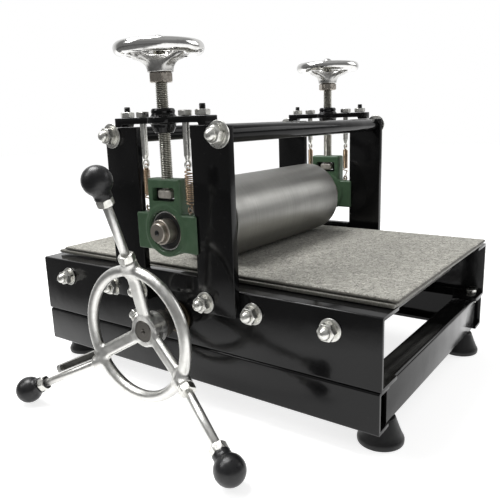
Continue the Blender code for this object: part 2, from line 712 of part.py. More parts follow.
def spring_points():
    """Coil with a leg and a hook at each end, as points around the local Z axis."""
    steps = 6
    turns = SPRING_TURNS
    coil = []
    height = SPRING_TOP_Z - SPRING_BOTTOM_Z
    for i in range(turns * steps + 1):
        angle = 2 * math.pi * i / steps
        z = SPRING_BOTTOM_Z + height * i / (turns * steps)
        coil.append((SPRING_RADIUS * math.cos(angle), SPRING_RADIUS * math.sin(angle), z))
    upper_hook = [(0, y, z) for y, z in arc((0, EYE_Z - EYE_RADIUS), HOOK_RADIUS, -60, 200, 5)]
    lower_hook = [(0, y, z) for y, z in arc((0, SPRING_FOOT_Z), HOOK_RADIUS, 60, -200, 5)]
    return list(reversed(lower_hook)) + coil + upper_hook


def make_spring(name, x, y):
    curve = tube_curve(name, spring_points(), SPRING_WIRE, 0)
    add(name, curve_to_mesh(curve), "spring_wire", (x, y, 0))


# ---------------------------------------------------------------- star wheel
def arm_frame(angle):
    """Matrix whose local Z runs out along an arm from the middle of the ring's tube."""
    radial = Vector((math.cos(math.radians(angle)), 0, math.sin(math.radians(angle))))
    start = radial * STAR_RING_RADIUS + Vector((0, STAR_Y, 0))
    if angle == TROUGH_ANGLE:
        start += Vector((-radial.z, 0, radial.x)) * TROUGH_ARM_OFFSET
    knob_distance, knob_y = KNOB_PLACES[angle]
    end = radial * knob_distance + Vector((0, knob_y, 0))
    along = (end - start).normalized()
    side = along.cross(Vector((0, 1, 0))).normalized()
    up = along.cross(side)
    turn = Matrix((side, up, along)).transposed().to_4x4()
    return Matrix.Translation(start) @ turn, (end - start).length


def make_star_wheel(group):
    """Ring, three dished spokes, hub, arm bosses and the trough beside one arm."""
    bpy.ops.mesh.primitive_torus_add(major_radius=STAR_RING_RADIUS, minor_radius=STAR_RING_TUBE,
                                     major_segments=32, minor_segments=8)
    made = bpy.context.object
    ring = smooth(made.data.copy(), 60)
    bpy.data.objects.remove(made)
    axis = (0, 0, DRIVE_Z)
    wheel = add("star_wheel", ring, "chrome", (0, STAR_Y, DRIVE_Z), TO_FAR, group)
    hub_length = STAR_HUB_BACK_Y - STAR_HUB_FRONT_Y
    hub = [(0, hub_length), (STAR_HUB_RADIUS, hub_length), (STAR_HUB_RADIUS, 0.0012),
           (STAR_HUB_RADIUS - 0.0012, 0), (0, 0)]
    join(wheel, turned_mesh("hub", hub, 24), (0, STAR_HUB_FRONT_Y, DRIVE_Z), TO_FAR)
    for angle in KNOB_PLACES:
        radial = Vector((math.cos(math.radians(angle)), 0, math.sin(math.radians(angle))))
        start = radial * 0.012 + Vector((0, STAR_HUB_FRONT_Y + SPOKE_THICKNESS / 2 + 0.001, 0))
        end = radial * STAR_RING_RADIUS + Vector((0, STAR_Y, 0))
        along = (end - start).normalized()
        side = Vector((0, 1, 0)).cross(along).normalized()
        turn = Matrix((side, along.cross(side), along)).transposed().to_4x4()
        size = (SPOKE_WIDTH, SPOKE_THICKNESS, (end - start).length)
        spoke = box_mesh("spoke", size, 0.0028)
        spoke.transform(Matrix.Translation((start + end) / 2) @ turn)
        join(wheel, spoke, axis)
        place, _ = arm_frame(angle)
        boss = rod_mesh("boss", ARM_BOSS_RADIUS, ARM_BOSS_LENGTH, 16)
        boss.transform(place)
        join(wheel, boss, axis)
    hub_middle = Matrix.Translation((0, (STAR_HUB_FRONT_Y + STAR_HUB_BACK_Y) / 2, 0))
    outwards = hub_middle @ Matrix.Rotation(math.radians(90 - CLAMP_BOLT_ANGLE), 4, "Y")
    lug = rod_mesh("lug", 0.0075, 0.0225, 12)
    lug.transform(outwards)
    join(wheel, lug, axis)
    head = rod_mesh("head", 0.0066, 0.0085, 12)
    head.transform(outwards @ Matrix.Translation((0, 0, 0.0220)))
    join(wheel, head, axis)
    join_trough(wheel, axis)
    bore(wheel, DRIVE_SHAFT_RADIUS + GAP, (0, STAR_HUB_FRONT_Y, DRIVE_Z), TO_FAR, 0.09, 24)


def join_trough(wheel, axis):
    """U-section bracket beside one arm's rod, open to the near side and closed at its outer end."""
    place, _ = arm_frame(TROUGH_ANGLE)
    half = TROUGH_HALF_WIDTH
    depth = TROUGH_DEPTH
    wall = TROUGH_WALL
    beside = Matrix.Translation((-ARM_ROD_RADIUS - 2 * GAP - half, -depth / 2, 0.006))
    section = [(-half, 0), (half, 0), (half, depth), (half - wall, depth), (half - wall, wall),
               (wall - half, wall), (wall - half, depth), (-half, depth)]
    channel = plate_mesh("trough", [section], TROUGH_LENGTH)
    channel.transform(place @ beside @ Matrix.Translation((0, 0, TROUGH_LENGTH / 2)))
    join(wheel, channel, axis)
    end = box_mesh("trough_end", (2 * half - wall, depth - wall / 2, TROUGH_END))
    middle = (0, depth / 2 - wall / 4, TROUGH_LENGTH - TROUGH_END / 2 - wall / 2)
    end.transform(place @ beside @ Matrix.Translation(middle))
    join(wheel, end, axis)


def make_arm(number, angle, group):
    """Arm rod with its lock nuts, and the ball knob at its end."""
    place, length = arm_frame(angle)
    axis = (0, 0, DRIVE_Z)
    start = ARM_BOSS_LENGTH + GAP
    ball_start = length - KNOB_RADIUS - KNOB_NECK_LENGTH
    rod = rod_mesh(f"arm_rod_{number}", ARM_ROD_RADIUS, ball_start - GAP - start, 14)
    rod.transform(place @ Matrix.Translation((0, 0, start)))
    arm = add(f"arm_rod_{number}", rod, "chrome", axis, group=group)
    height = ARM_NUT["height"]
    nut_places = [ball_start - GAP - height]
    if angle != TROUGH_ANGLE:
        nut_places.append(start)
    for z in nut_places:
        nut = hexagon_mesh("nut", ARM_NUT["flats"], height)
        nut.transform(place @ Matrix.Translation((0, 0, z)))
        join(arm, nut, axis)
    neck = KNOB_NECK_RADIUS
    neck_angle = math.degrees(math.asin(neck / KNOB_RADIUS))
    ball = [(r, z + length) for r, z in arc((0, 0), KNOB_RADIUS, 90, neck_angle - 90, 7)]
    ball[0] = (0, ball[0][1])
    profile = ball + [(neck, ball_start), (0, ball_start)]
    knob = turned_mesh(f"arm_knob_{number}", profile, 18)
    knob.transform(place)
    add(f"arm_knob_{number}", knob, "knob_plastic", axis, group=group)


# ---------------------------------------------------------------- the whole press
def build_press():
    make_rails()
    make_cross_members()
    make_feet()
    make_posts()
    make_bridge_plates()
    make_tie_bars()
    make_support_rollers()
    make_bushes()
    make_bed(new_group("bed_slide", (0, 0, BOARD_BOTTOM_Z), PRESS))

    drive = new_group("drive_shaft_axis", (0, 0, DRIVE_Z), PRESS)
    make_drive_roller(drive)
    make_collar(drive)
    make_star_wheel(drive)
    for number, angle in enumerate(KNOB_PLACES, 1):
        make_arm(number, angle, drive)

    carriage = new_group("roller_carriage", (0, 0, ROLLER_Z), PRESS)
    make_top_roller(new_group("top_roller_axis", (0, 0, ROLLER_Z), carriage))
    for name, side in SIDES:
        y = side * END_FRAME_Y
        make_housing(name, side, carriage)
        make_bearing(name, side, carriage)
        screw_axis = new_group(f"{name}_screw_axis", (0, y, ROLLER_Z), carriage)
        make_screw(name, y, screw_axis)
        make_jam_nut(name, y, screw_axis)
        make_handwheel(name, y, screw_axis)
        for end_name, end in ENDS:
            make_hanger_bolt(f"{name}_{end_name}_hanger_bolt", end * HANGER_X, y)
            make_spring(f"{name}_{end_name}_spring", end * HANGER_X, y)


def centre_press():
    """Shift the press across so that its bounding box is centred on y = 0."""
    solids = [evaluated(obj) for obj in PARTS.objects if obj.type == "MESH"]
    reach = [(solid.matrix_world @ vertex.co).y for solid in solids
             for vertex in solid.data.vertices]
    PRESS.location.y = -(min(reach) + max(reach)) / 2


build_press()
centre_press()
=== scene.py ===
"""Looks of the tabletop etching press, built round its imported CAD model.

Metres, +Z up, in the model's frame: X along the bed, Y across it, the star wheel at the -Y side.
Each visible piece is made here with finer shapes, rides on its CAD body and stands for its node.
Positions come from the CAD nodes' boxes; y values are measured from the middle of the bed.
"""

import json
import math
import random

import bmesh
import bpy
import numpy as np
from mathutils import Matrix, Vector, noise

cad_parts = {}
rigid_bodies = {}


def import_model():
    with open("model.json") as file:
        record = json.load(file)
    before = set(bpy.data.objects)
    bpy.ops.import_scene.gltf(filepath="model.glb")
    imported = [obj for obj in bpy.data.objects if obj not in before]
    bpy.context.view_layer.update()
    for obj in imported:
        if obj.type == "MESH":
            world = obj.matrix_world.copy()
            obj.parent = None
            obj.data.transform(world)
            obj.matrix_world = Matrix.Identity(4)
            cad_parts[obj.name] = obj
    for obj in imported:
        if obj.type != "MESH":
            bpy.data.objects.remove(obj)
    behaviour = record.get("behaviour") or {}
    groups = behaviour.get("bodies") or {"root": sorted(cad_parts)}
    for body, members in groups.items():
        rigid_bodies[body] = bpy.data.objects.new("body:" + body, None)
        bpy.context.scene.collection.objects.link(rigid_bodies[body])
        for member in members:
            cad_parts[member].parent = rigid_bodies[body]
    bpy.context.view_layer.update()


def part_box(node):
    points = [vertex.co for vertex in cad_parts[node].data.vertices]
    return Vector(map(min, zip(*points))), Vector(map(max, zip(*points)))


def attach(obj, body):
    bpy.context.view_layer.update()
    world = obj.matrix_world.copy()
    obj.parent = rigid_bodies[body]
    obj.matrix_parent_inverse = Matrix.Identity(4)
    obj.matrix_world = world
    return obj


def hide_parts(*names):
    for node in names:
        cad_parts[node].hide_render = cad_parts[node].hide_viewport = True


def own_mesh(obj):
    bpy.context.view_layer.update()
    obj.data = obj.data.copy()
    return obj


for default_object in list(bpy.data.objects):
    bpy.data.objects.remove(default_object, do_unlink=True)
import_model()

SIDES = (("near", -1), ("far", 1))
ENDS = (("left", -1), ("right", 1))
GAP = 0.0003


def centre(node):
    low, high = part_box(node)
    return (low + high) / 2


def extent(node):
    low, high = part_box(node)
    return high - low


# ---------------------------------------------------------------- places read from the CAD
MIDDLE_Y = centre("bed_board").y
SHAFT_Z = centre("drive_roller").z
ROLLER_Z = centre("top_roller").z
SUPPORT_Z = centre("support_axle_1").z
TIE_Z = centre("left_tie_rod").z
END_Y = centre("far_bearing_housing").y - MIDDLE_Y
RAIL_FACE_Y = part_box("far_lower_rail")[1].y - MIDDLE_Y
RAIL_TOP = 0.1557
POST_FACE_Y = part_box("far_left_post")[1].y - MIDDLE_Y
FELT_TOP_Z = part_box("felt_blanket")[1].z


def at(x, y, z):
    """A point given by its x, its y from the middle of the bed, and its z."""
    return Vector((x, MIDDLE_Y + y, z))


def placed(point, towards=(0, 0, 1)):
    """Matrix that puts a shape's origin on a point and its local Z along a direction."""
    turn = Vector(towards).to_track_quat("Z", "Y").to_matrix().to_4x4()
    return Matrix.Translation(point) @ turn


def plane_matrix(point):
    """Matrix that stands a flat plate's outline up in (x, z) at a point."""
    return Matrix.Translation(point) @ Matrix.Rotation(math.radians(90), 4, "X")


def circle(count):
    """Evenly spaced angles once round."""
    return [2 * math.pi * k / count for k in range(count)]


# ---------------------------------------------------------------- materials
class Look:
    """A procedural material whose patterns have their sizes in metres."""

    def __init__(self, name, colour, roughness, metallic=0.0, **constants):
        self.material = bpy.data.materials.new(name)
        self.material.use_nodes = True
        self.material.diffuse_color = (*colour, 1)
        self.tree = self.material.node_tree
        self.shader = self.tree.nodes["Principled BSDF"]
        self.shader.inputs["Base Color"].default_value = (*colour, 1)
        self.shader.inputs["Roughness"].default_value = roughness
        self.shader.inputs["Metallic"].default_value = metallic
        for socket, value in constants.items():
            self.shader.inputs[socket.replace("_", " ")].default_value = value
        self.colour = colour
        self.roughness = roughness
        self.place = self.tree.nodes.new("ShaderNodeTexCoord").outputs["Object"]

    def node(self, kind, **inputs):
        made = self.tree.nodes.new(kind)
        for name, value in inputs.items():
            self.put(made.inputs[name.replace("_", " ")], value)
        return made

    def put(self, socket, value):
        if isinstance(value, bpy.types.NodeSocket):
            self.tree.links.new(value, socket)
        else:
            socket.default_value = value

    def noise(self, size, detail=2.0, stretch=(1, 1, 1), distortion=0.0, shift=0.0):
        """Cloudy pattern with features of about `size`, from 0 to 1."""
        mapping = self.node("ShaderNodeMapping", Vector=self.place, Scale=stretch,
                            Location=(shift, shift, shift))
        made = self.node("ShaderNodeTexNoise", Vector=mapping.outputs["Vector"], Scale=1 / size,
                         Detail=detail, Distortion=distortion)
        return made.outputs["Fac"]

    def radial(self, axis):
        """Distance from the object's own axis."""
        parts = self.node("ShaderNodeSeparateXYZ", Vector=self.place)
        flat = [parts.outputs[letter] for letter in "XYZ" if letter != axis]
        joined = self.node("ShaderNodeCombineXYZ", X=flat[0], Y=flat[1])
        length = self.node("ShaderNodeVectorMath", Vector=joined.outputs["Vector"])
        length.operation = "LENGTH"
        return length.outputs["Value"]

    def turning_marks(self, axis, size):
        """Fine rings round an axis, both along it and across an end face."""
        parts = self.node("ShaderNodeSeparateXYZ", Vector=self.place)
        rings = self.node("ShaderNodeCombineXYZ", X=parts.outputs[axis], Y=self.radial(axis))
        made = self.node("ShaderNodeTexNoise", Vector=rings.outputs["Vector"], Scale=1 / size,
                         Detail=3.0)
        return made.outputs["Fac"]

    def span(self, value, low, high, to_low=0.0, to_high=1.0):
        made = self.node("ShaderNodeMapRange", Value=value, To_Min=to_low, To_Max=to_high)
        made.inputs["From Min"].default_value = low
        made.inputs["From Max"].default_value = high
        return made.outputs["Result"]

    def tint(self, share, colour):
        """Lays another colour over the base colour by a share."""
        mix = self.node("ShaderNodeMix")
        mix.data_type = "RGBA"
        base = self.shader.inputs["Base Color"]
        if base.is_linked:
            self.put(mix.inputs[6], base.links[0].from_socket)
        else:
            mix.inputs[6].default_value = (*self.colour, 1)
        mix.inputs[7].default_value = (*colour, 1)
        self.put(mix.inputs[0], share)
        self.put(base, mix.outputs[2])
        return self

    def mottle(self, size, detail, low, high, share, colour):
        """Lays patches of another colour over the base colour."""
        return self.tint(self.span(self.noise(size, detail), low, high, 0.0, share), colour)

    def gloss(self, value, low, high):
        """Roughness from one level to another, by a pattern."""
        self.put(self.shader.inputs["Roughness"], self.span(value, 0.3, 0.7, low, high))
        return self

    def bump(self, value, depth):
        made = self.node("ShaderNodeBump", Height=value, Distance=depth)
        normal = self.shader.inputs["Normal"]
        if normal.is_linked:
            self.put(made.inputs["Normal"], normal.links[0].from_socket)
        self.put(normal, made.outputs["Normal"])
        return self


def black_paint(name, specular):
    look = Look(name, (0.0050, 0.0050, 0.0052), 0.12, Specular_IOR_Level=specular)
    look.mottle(0.05, 4, 0.45, 0.75, 0.6, (0.0085, 0.0085, 0.0088))
    specks = look.span(look.noise(0.0019, 1, shift=3.0), 0.77, 0.80)
    look.tint(specks, (0.040, 0.040, 0.037))
    look.gloss(look.noise(0.04, 4, distortion=0.4), 0.08, 0.17)
    look.bump(look.noise(0.055, 1), 0.0008)
    look.bump(look.noise(0.016, 1, (1, 1, 1), 0.3), 0.00012)
    return look.bump(look.noise(0.0030, 1), 0.000022)


def green_enamel():
    look = Look("green_enamel_look", (0.056, 0.106, 0.058), 0.42, Specular_IOR_Level=0.35)
    look.mottle(0.012, 4, 0.45, 0.7, 0.6, (0.076, 0.130, 0.076))
    look.tint(look.span(look.noise(0.0026, 2, shift=1.0), 0.70, 0.76), (0.012, 0.028, 0.016))
    look.gloss(look.noise(0.006, 3), 0.28, 0.48)
    look.bump(look.noise(0.0060, 3), 0.00042)
    return look.bump(look.noise(0.0013, 2), 0.00006)


def zinc():
    look = Look("zinc_look", (0.78, 0.775, 0.735), 0.32, 1.0)
    look.mottle(0.004, 3, 0.5, 0.75, 0.6, (0.52, 0.51, 0.47))
    look.gloss(look.noise(0.003, 3, shift=2.0), 0.23, 0.42)
    return look.bump(look.noise(0.0014, 2), 0.000022)


def thread_groove_shade(look, radius, depth, colour):
    """Painted shade in the grooves of a thread, from its root radius out to its crest."""
    shade = look.span(look.radial("Z"), radius - depth, radius - 0.2 * depth, 0.85, 0.0)
    return look.tint(shade, colour)


def threaded_zinc():
    look = Look("threaded_zinc_look", (0.56, 0.55, 0.50), 0.30, 1.0)
    look.mottle(0.005, 3, 0.5, 0.75, 0.8, (0.38, 0.37, 0.33))
    # painted shade deep in the thread's grooves
    thread_groove_shade(look, 0.0070, 0.0011, (0.10, 0.095, 0.08))
    look.gloss(look.noise(0.004, 3), 0.24, 0.42)
    return look.bump(look.noise(0.0008, 2), 0.00002)


def dull_nut():
    look = Look("dull_nut_look", (0.50, 0.46, 0.41), 0.30, 1.0)
    look.mottle(0.004, 3, 0.45, 0.7, 0.8, (0.36, 0.32, 0.28))
    look.gloss(look.noise(0.003, 3), 0.22, 0.42)
    return look.bump(look.noise(0.0010, 2), 0.00003)


def pale_block():
    look = Look("pale_block_look", (0.48, 0.455, 0.41), 0.5, 0.35)
    look.mottle(0.005, 3, 0.45, 0.7, 0.8, (0.30, 0.28, 0.24))
    look.gloss(look.noise(0.003, 3), 0.35, 0.55)
    return look.bump(look.noise(0.0012, 2), 0.00004)


def wheel_chrome():
    """Polished rim; the cast spokes and hub inside it stay rougher and greyer."""
    look = Look("wheel_chrome_look", (0.74, 0.735, 0.72), 0.13, 1.0)
    inside = look.span(look.radial("Z"), 0.034, 0.039, 1.0, 0.0)
    look.tint(inside, (0.52, 0.515, 0.50))
    look.mottle(0.006, 3, 0.5, 0.75, 0.5, (0.42, 0.41, 0.39))
    look.put(look.shader.inputs["Roughness"], look.span(inside, 0, 1, 0.12, 0.30))
    look.bump(look.noise(0.012, 2), 0.00008)
    return look.bump(look.noise(0.0030, 3), 0.00005)


def chrome():
    look = Look("chrome_look", (0.66, 0.655, 0.64), 0.13, 1.0)
    look.mottle(0.010, 3, 0.55, 0.8, 0.6, (0.50, 0.49, 0.47))
    look.gloss(look.noise(0.008, 4), 0.09, 0.20)
    return look.bump(look.noise(0.009, 2), 0.00016)


def satin_chrome():
    look = Look("satin_chrome_look", (0.80, 0.795, 0.765), 0.36, 1.0)
    look.mottle(0.006, 4, 0.5, 0.75, 0.6, (0.64, 0.63, 0.60))
    look.gloss(look.noise(0.0045, 4), 0.28, 0.46)
    look.bump(look.noise(0.0075, 2), 0.00018)
    return look.bump(look.noise(0.0015, 3), 0.00004)


def turned_steel(name, axis, colour, low, high, mark):
    look = Look(name, colour, low, 1.0)
    darker = tuple(0.70 * channel for channel in colour)
    look.tint(look.span(look.turning_marks(axis, mark), 0.45, 0.75, 0.0, 0.6), darker)
    look.gloss(look.noise(0.03, 4), low, high)
    return look.bump(look.turning_marks(axis, mark * 0.5), mark * 0.012)


def roller_face():
    """Ground steel: fine rings round it and faint lengthwise polishing streaks."""
    look = turned_steel("roller_steel_look", "Y", (0.32, 0.317, 0.300), 0.36, 0.46, 0.0011)
    streaks = look.noise(0.011, 3, (1, 0.05, 1))
    look.tint(look.span(streaks, 0.42, 0.75, 0.0, 0.45), (0.38, 0.377, 0.36))
    look.tint(look.span(look.noise(0.05, 3, shift=4.0), 0.4, 0.7, 0.0, 0.3), (0.21, 0.208, 0.20))
    return look.bump(look.noise(0.014, 2, (1, 0.08, 1)), 0.00012)


def bronze():
    look = Look("bronze_look", (0.060, 0.048, 0.034), 0.45, 1.0)
    look.mottle(0.004, 3, 0.5, 0.75, 1.0, (0.035, 0.028, 0.020))
    return look.bump(look.turning_marks("Y", 0.0006), 0.00002)


def spring_wire():
    look = Look("spring_wire_look", (0.46, 0.335, 0.225), 0.30, 1.0)
    look.mottle(0.003, 2, 0.5, 0.7, 1.0, (0.33, 0.25, 0.18))
    return look.bump(look.noise(0.0006, 2), 0.00001)


def rubber():
    look = Look("rubber_look", (0.010, 0.010, 0.0105), 0.42, Specular_IOR_Level=0.4)
    look.mottle(0.010, 4, 0.5, 0.75, 0.7, (0.018, 0.018, 0.017))
    look.gloss(look.noise(0.006, 3), 0.30, 0.52)
    return look.bump(look.noise(0.0009, 2), 0.00004)


def knob_plastic():
    look = Look("knob_plastic_look", (0.011, 0.011, 0.012), 0.32, Specular_IOR_Level=0.45)
    look.mottle(0.007, 4, 0.5, 0.8, 0.6, (0.022, 0.022, 0.023))
    look.gloss(look.noise(0.005, 3), 0.25, 0.42)
    return look.bump(look.noise(0.0012, 2), 0.00003)


def black_oxide():
    look = Look("black_oxide_look", (0.012, 0.012, 0.013), 0.40, 0.3)
    look.mottle(0.002, 2, 0.5, 0.8, 1.0, (0.030, 0.029, 0.028))
    return look.bump(look.noise(0.0006, 2), 0.00002)


def felt():
    look = Look("felt_look", (0.355, 0.345, 0.305), 0.95, Sheen_Weight=0.12, Sheen_Roughness=0.6)
    dark_fibres = look.span(look.noise(0.0038, 4, (1, 0.55, 1), 1.8), 0.49, 0.60, 0.0, 0.9)
    look.tint(dark_fibres, (0.130, 0.125, 0.108))
    light_fibres = look.span(look.noise(0.0032, 4, (0.55, 1, 1), 1.5, 5.0), 0.54, 0.64, 0.0, 0.9)
    look.tint(light_fibres, (0.64, 0.625, 0.56))
    specks = look.span(look.noise(0.0024, 1, shift=9.0), 0.66, 0.70, 0.0, 0.9)
    look.tint(specks, (0.040, 0.040, 0.040))
    look.mottle(0.05, 2, 0.35, 0.7, 0.3, (0.22, 0.215, 0.19))
    height = look.node("ShaderNodeSeparateXYZ", Vector=look.place).outputs["Z"]
    # painted shade: the felt's cut edge darkens just below its top
    look.tint(look.span(height, FELT_TOP_Z - 0.0014, FELT_TOP_Z - 0.0007, 0.85, 0.0), (0.085, 0.080, 0.068))
    # painted shadow: a near-black band lower on the cut edge, the shadow line under the rounded edge
    look.tint(look.span(height, FELT_TOP_Z - 0.0042, FELT_TOP_Z - 0.0034, 1.0, 0.0), (0.006, 0.006, 0.006))
    look.bump(look.noise(0.0026, 4, distortion=0.8), 0.0008)
    return look.bump(look.noise(0.0009, 3), 0.0004)


def board():
    look = Look("bed_board_look", (0.135, 0.130, 0.112), 0.6)
    look.mottle(0.0022, 3, 0.45, 0.65, 0.9, (0.23, 0.225, 0.20))
    look.gloss(look.noise(0.01, 3), 0.4, 0.6)
    return look.bump(look.noise(0.0015, 2), 0.00006)


def seal_rubber():
    look = Look("seal_rubber_look", (0.006, 0.006, 0.0065), 0.5)
    look.mottle(0.004, 3, 0.5, 0.8, 1.0, (0.012, 0.012, 0.012))
    return look.bump(look.turning_marks("Y", 0.0009), 0.00003)


BLACK = black_paint("black_paint_look", 0.27)
TUBE_BLACK = black_paint("tube_paint_look", 0.13)
GREEN = green_enamel()
ZINC = zinc()
THREAD = threaded_zinc()
CHROME = chrome()
WHEEL_CHROME = wheel_chrome()
STAR_CHROME = satin_chrome()
DULL = dull_nut()
ROLLER = roller_face()
SHAFT = turned_steel("shaft_steel_look", "Y", (0.185, 0.175, 0.16), 0.34, 0.46, 0.0022)
BEARING = turned_steel("bearing_steel_look", "Y", (0.46, 0.42, 0.37), 0.36, 0.48, 0.0009)
BRONZE = bronze()
COPPER = spring_wire()
RUBBER = rubber()
PLASTIC = knob_plastic()
OXIDE = black_oxide()
FELT = felt()
BOARD = board()
SEAL = seal_rubber()
BLOCK = pale_block()
# The trough's floor: turned steel far darker than its satin walls, painted shade inside the channel.
TROUGH_FLOOR_SHADE = turned_steel("trough_floor_shade_look", "Z", (0.16, 0.158, 0.150), 0.38, 0.5, 0.0022)


# ---------------------------------------------------------------- shapes
def mesh_of(bm, name="shape"):
    mesh = bpy.data.meshes.new(name)
    bmesh.ops.recalc_face_normals(bm, faces=bm.faces)
    bm.to_mesh(mesh)
    bm.free()
    return mesh


def skin(rings, closed=False):
    """Quads between neighbouring rings of points; a ring of one point is a pole."""
    bm = bmesh.new()
    rows = [[bm.verts.new(point) for point in ring] for ring in rings]
    pairs = list(zip(rows, rows[1:]))
    if closed:
        pairs.append((rows[-1], rows[0]))
    for low, high in pairs:
        count = max(len(low), len(high))
        for k in range(count):
            corners = [low[k % len(low)], low[(k + 1) % len(low)],
                       high[(k + 1) % len(high)], high[k % len(high)]]
            corners = list(dict.fromkeys(corners))
            if len(corners) > 2:
                bm.faces.new(corners)
    return mesh_of(bm)


def ring(radius, z, steps):
    """A level ring of points; radius may be a function of the angle."""
    if not callable(radius) and radius < 1e-7:
        return [Vector((0, 0, z))]
    angles = [2 * math.pi * k / steps for k in range(steps)]
    reach = radius if callable(radius) else lambda angle: radius
    return [Vector((reach(a) * math.cos(a), reach(a) * math.sin(a), z)) for a in angles]


def lathe(profile, steps=64, closed=False):
    return skin([ring(radius, z, steps) for radius, z in profile], closed)


def fillet(corners, steps=4, closed=False):
    """A chain of (x, y, corner radius) with each corner as an arc."""
    chain = []
    count = len(corners)
    for i, (x, y, radius) in enumerate(corners):
        if radius == 0 or (not closed and i in (0, count - 1)):
            chain.append((x, y))
            continue
        corner = Vector((x, y))
        before = (Vector(corners[i - 1][:2]) - corner).normalized()
        after = (Vector(corners[(i + 1) % count][:2]) - corner).normalized()
        half = before.angle(after) / 2
        middle = corner + (before + after).normalized() * radius / math.sin(half)
        first = corner + before * radius / math.tan(half) - middle
        last = corner + after * radius / math.tan(half) - middle
        sweep = first.angle_signed(last)
        for k in range(steps + 1):
            chain.append(tuple(middle + Matrix.Rotation(-sweep * k / steps, 2) @ first))
    return chain


def arc(middle, radius, start, end, steps):
    angles = [math.radians(start + (end - start) * i / steps) for i in range(steps + 1)]
    return [(middle[0] + radius * math.cos(a), middle[1] + radius * math.sin(a)) for a in angles]


def from_curve(curve):
    obj = bpy.data.objects.new("curve", curve)
    bpy.context.scene.collection.objects.link(obj)
    bpy.context.view_layer.update()
    graph = bpy.context.evaluated_depsgraph_get()
    mesh = bpy.data.meshes.new_from_object(obj.evaluated_get(graph))
    bpy.data.objects.remove(obj)
    bm = bmesh.new()
    bm.from_mesh(mesh)
    bmesh.ops.remove_doubles(bm, verts=bm.verts, dist=0.000005)
    return mesh_of(bm)


def plate(outlines, thickness, edge=0.0, steps=2):
    """A flat plate of 2D outlines with rounded edges, centred on z = 0."""
    curve = bpy.data.curves.new("plate", "CURVE")
    curve.dimensions = "2D"
    curve.fill_mode = "BOTH"
    curve.extrude = thickness / 2 - edge
    curve.bevel_depth = edge
    curve.bevel_resolution = steps
    curve.offset = -edge
    for outline in outlines:
        spline = curve.splines.new("POLY")
        spline.points.add(len(outline) - 1)
        for point, (x, y) in zip(spline.points, outline):
            point.co = (x, y, 0, 1)
        spline.use_cyclic_u = True
    return from_curve(curve)


def tube(points, radius, resolution=5, cyclic=False, radii=None):
    """A round wire along a chain of points."""
    curve = bpy.data.curves.new("tube", "CURVE")
    curve.dimensions = "3D"
    curve.bevel_depth = radius
    curve.bevel_resolution = resolution
    curve.use_fill_caps = True
    spline = curve.splines.new("POLY")
    spline.points.add(len(points) - 1)
    for i, point in enumerate(points):
        spline.points[i].co = (*point, 1)
        spline.points[i].radius = radii[i] if radii else 1.0
    spline.use_cyclic_u = cyclic
    return from_curve(curve)


def hexagon(flats, height, bore=0.0, steps=72):
    """A nut or bolt head whose corners are turned down at 30 degrees, standing on z = 0."""
    inner = flats / 2
    outer = flats / math.sqrt(3)
    face = inner * 0.96
    slope = math.tan(math.radians(30))
    depth = (outer - face) * slope

    def row(z, limit):
        def reach(angle):
            turn = (angle + math.pi / 6) % (math.pi / 3) - math.pi / 6
            return min(inner / math.cos(math.pi / 6 - abs(turn)), limit)
        return ring(reach, z, steps)

    shares = (0.0, 0.12, 0.3, 0.5, 0.75, 1.0)
    rows = [row(depth * s, face + depth * s / slope) for s in shares]
    rows += [row(height - depth * s, face + depth * s / slope) for s in reversed(shares)]
    rows = [ring(bore, 0, steps)] + rows + [ring(bore, height, steps)]
    return skin(rows, closed=bool(bore))


def threaded(radius, length, pitch, steps=36, rows_per_turn=8):
    """A rod standing on z = 0 whose surface winds round it as a screw thread."""
    depth = 0.55 * pitch
    count = int(length / pitch * rows_per_turn)
    rings = [ring(0, 0, steps), ring(radius - depth, 0, steps)]
    for i in range(count + 1):
        z = length * i / count

        def reach(angle, z=z):
            phase = (z / pitch - angle / (2 * math.pi)) % 1.0
            wave = min(1.0, max(0.0, 1.35 * abs(2 * phase - 1) - 0.12))
            fade = min(1.0, z / pitch, (length - z) / pitch)
            return radius - depth * (1 - fade + fade * (1 - wave))
        rings.append(ring(reach, z, steps))
    rings += [ring(radius - depth, length, steps), ring(0, length, steps)]
    return skin(rings)


def rounded_box(size, edge, steps=3):
    bm = bmesh.new()
    bmesh.ops.create_cube(bm, size=1.0)
    bmesh.ops.scale(bm, vec=size, verts=bm.verts)
    bmesh.ops.bevel(bm, geom=bm.edges, offset=edge, segments=steps, profile=0.5, affect="EDGES")
    return mesh_of(bm)


def gather(shapes):
    """One mesh from (mesh, matrix, look) triples, with a material slot for each look."""
    bm = bmesh.new()
    looks = []
    for mesh, matrix, look in shapes:
        if look not in looks:
            looks.append(look)
        start = len(bm.faces)
        moved = mesh.copy()
        moved.transform(matrix)
        if matrix.determinant() < 0:
            moved.flip_normals()
        bm.from_mesh(moved)
        bm.faces.ensure_lookup_table()
        for face in bm.faces[start:]:
            face.material_index = looks.index(look)
        bpy.data.meshes.remove(moved)
    made = bpy.data.meshes.new("gathered")
    bm.to_mesh(made)
    bm.free()
    for look in looks:
        made.materials.append(look.material)
    return made


def add(name, shapes, body, origin=(0, 0, 0), node=None, sharp=32):
    """A finished piece: it rides on a body and stands for a CAD node of its own name."""
    mesh = gather(shapes)
    mesh.name = name
    origin = Vector(origin)
    mesh.transform(Matrix.Translation(-origin))
    mesh.shade_smooth()
    mesh.set_sharp_from_angle(angle=math.radians(sharp))
    obj = bpy.data.objects.new(name + "_visual", mesh)
    bpy.context.scene.collection.objects.link(obj)
    obj.location = origin
    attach(obj, body)
    if node:
        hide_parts(node)
    return obj


# ---------------------------------------------------------------- smooth cast shapes
def smooth_min(a, b, blend):
    share = np.clip(0.5 + 0.5 * (b - a) / blend, 0, 1)
    return b * (1 - share) + a * share - blend * share * (1 - share)


def capped(along, across, half, edge):
    """Distance to a solid from its distance outside along one way and across the other."""
    q = np.stack([across + edge, np.abs(along) - half + edge])
    return np.linalg.norm(np.maximum(q, 0), axis=0) + np.minimum(q.max(0), 0) - edge


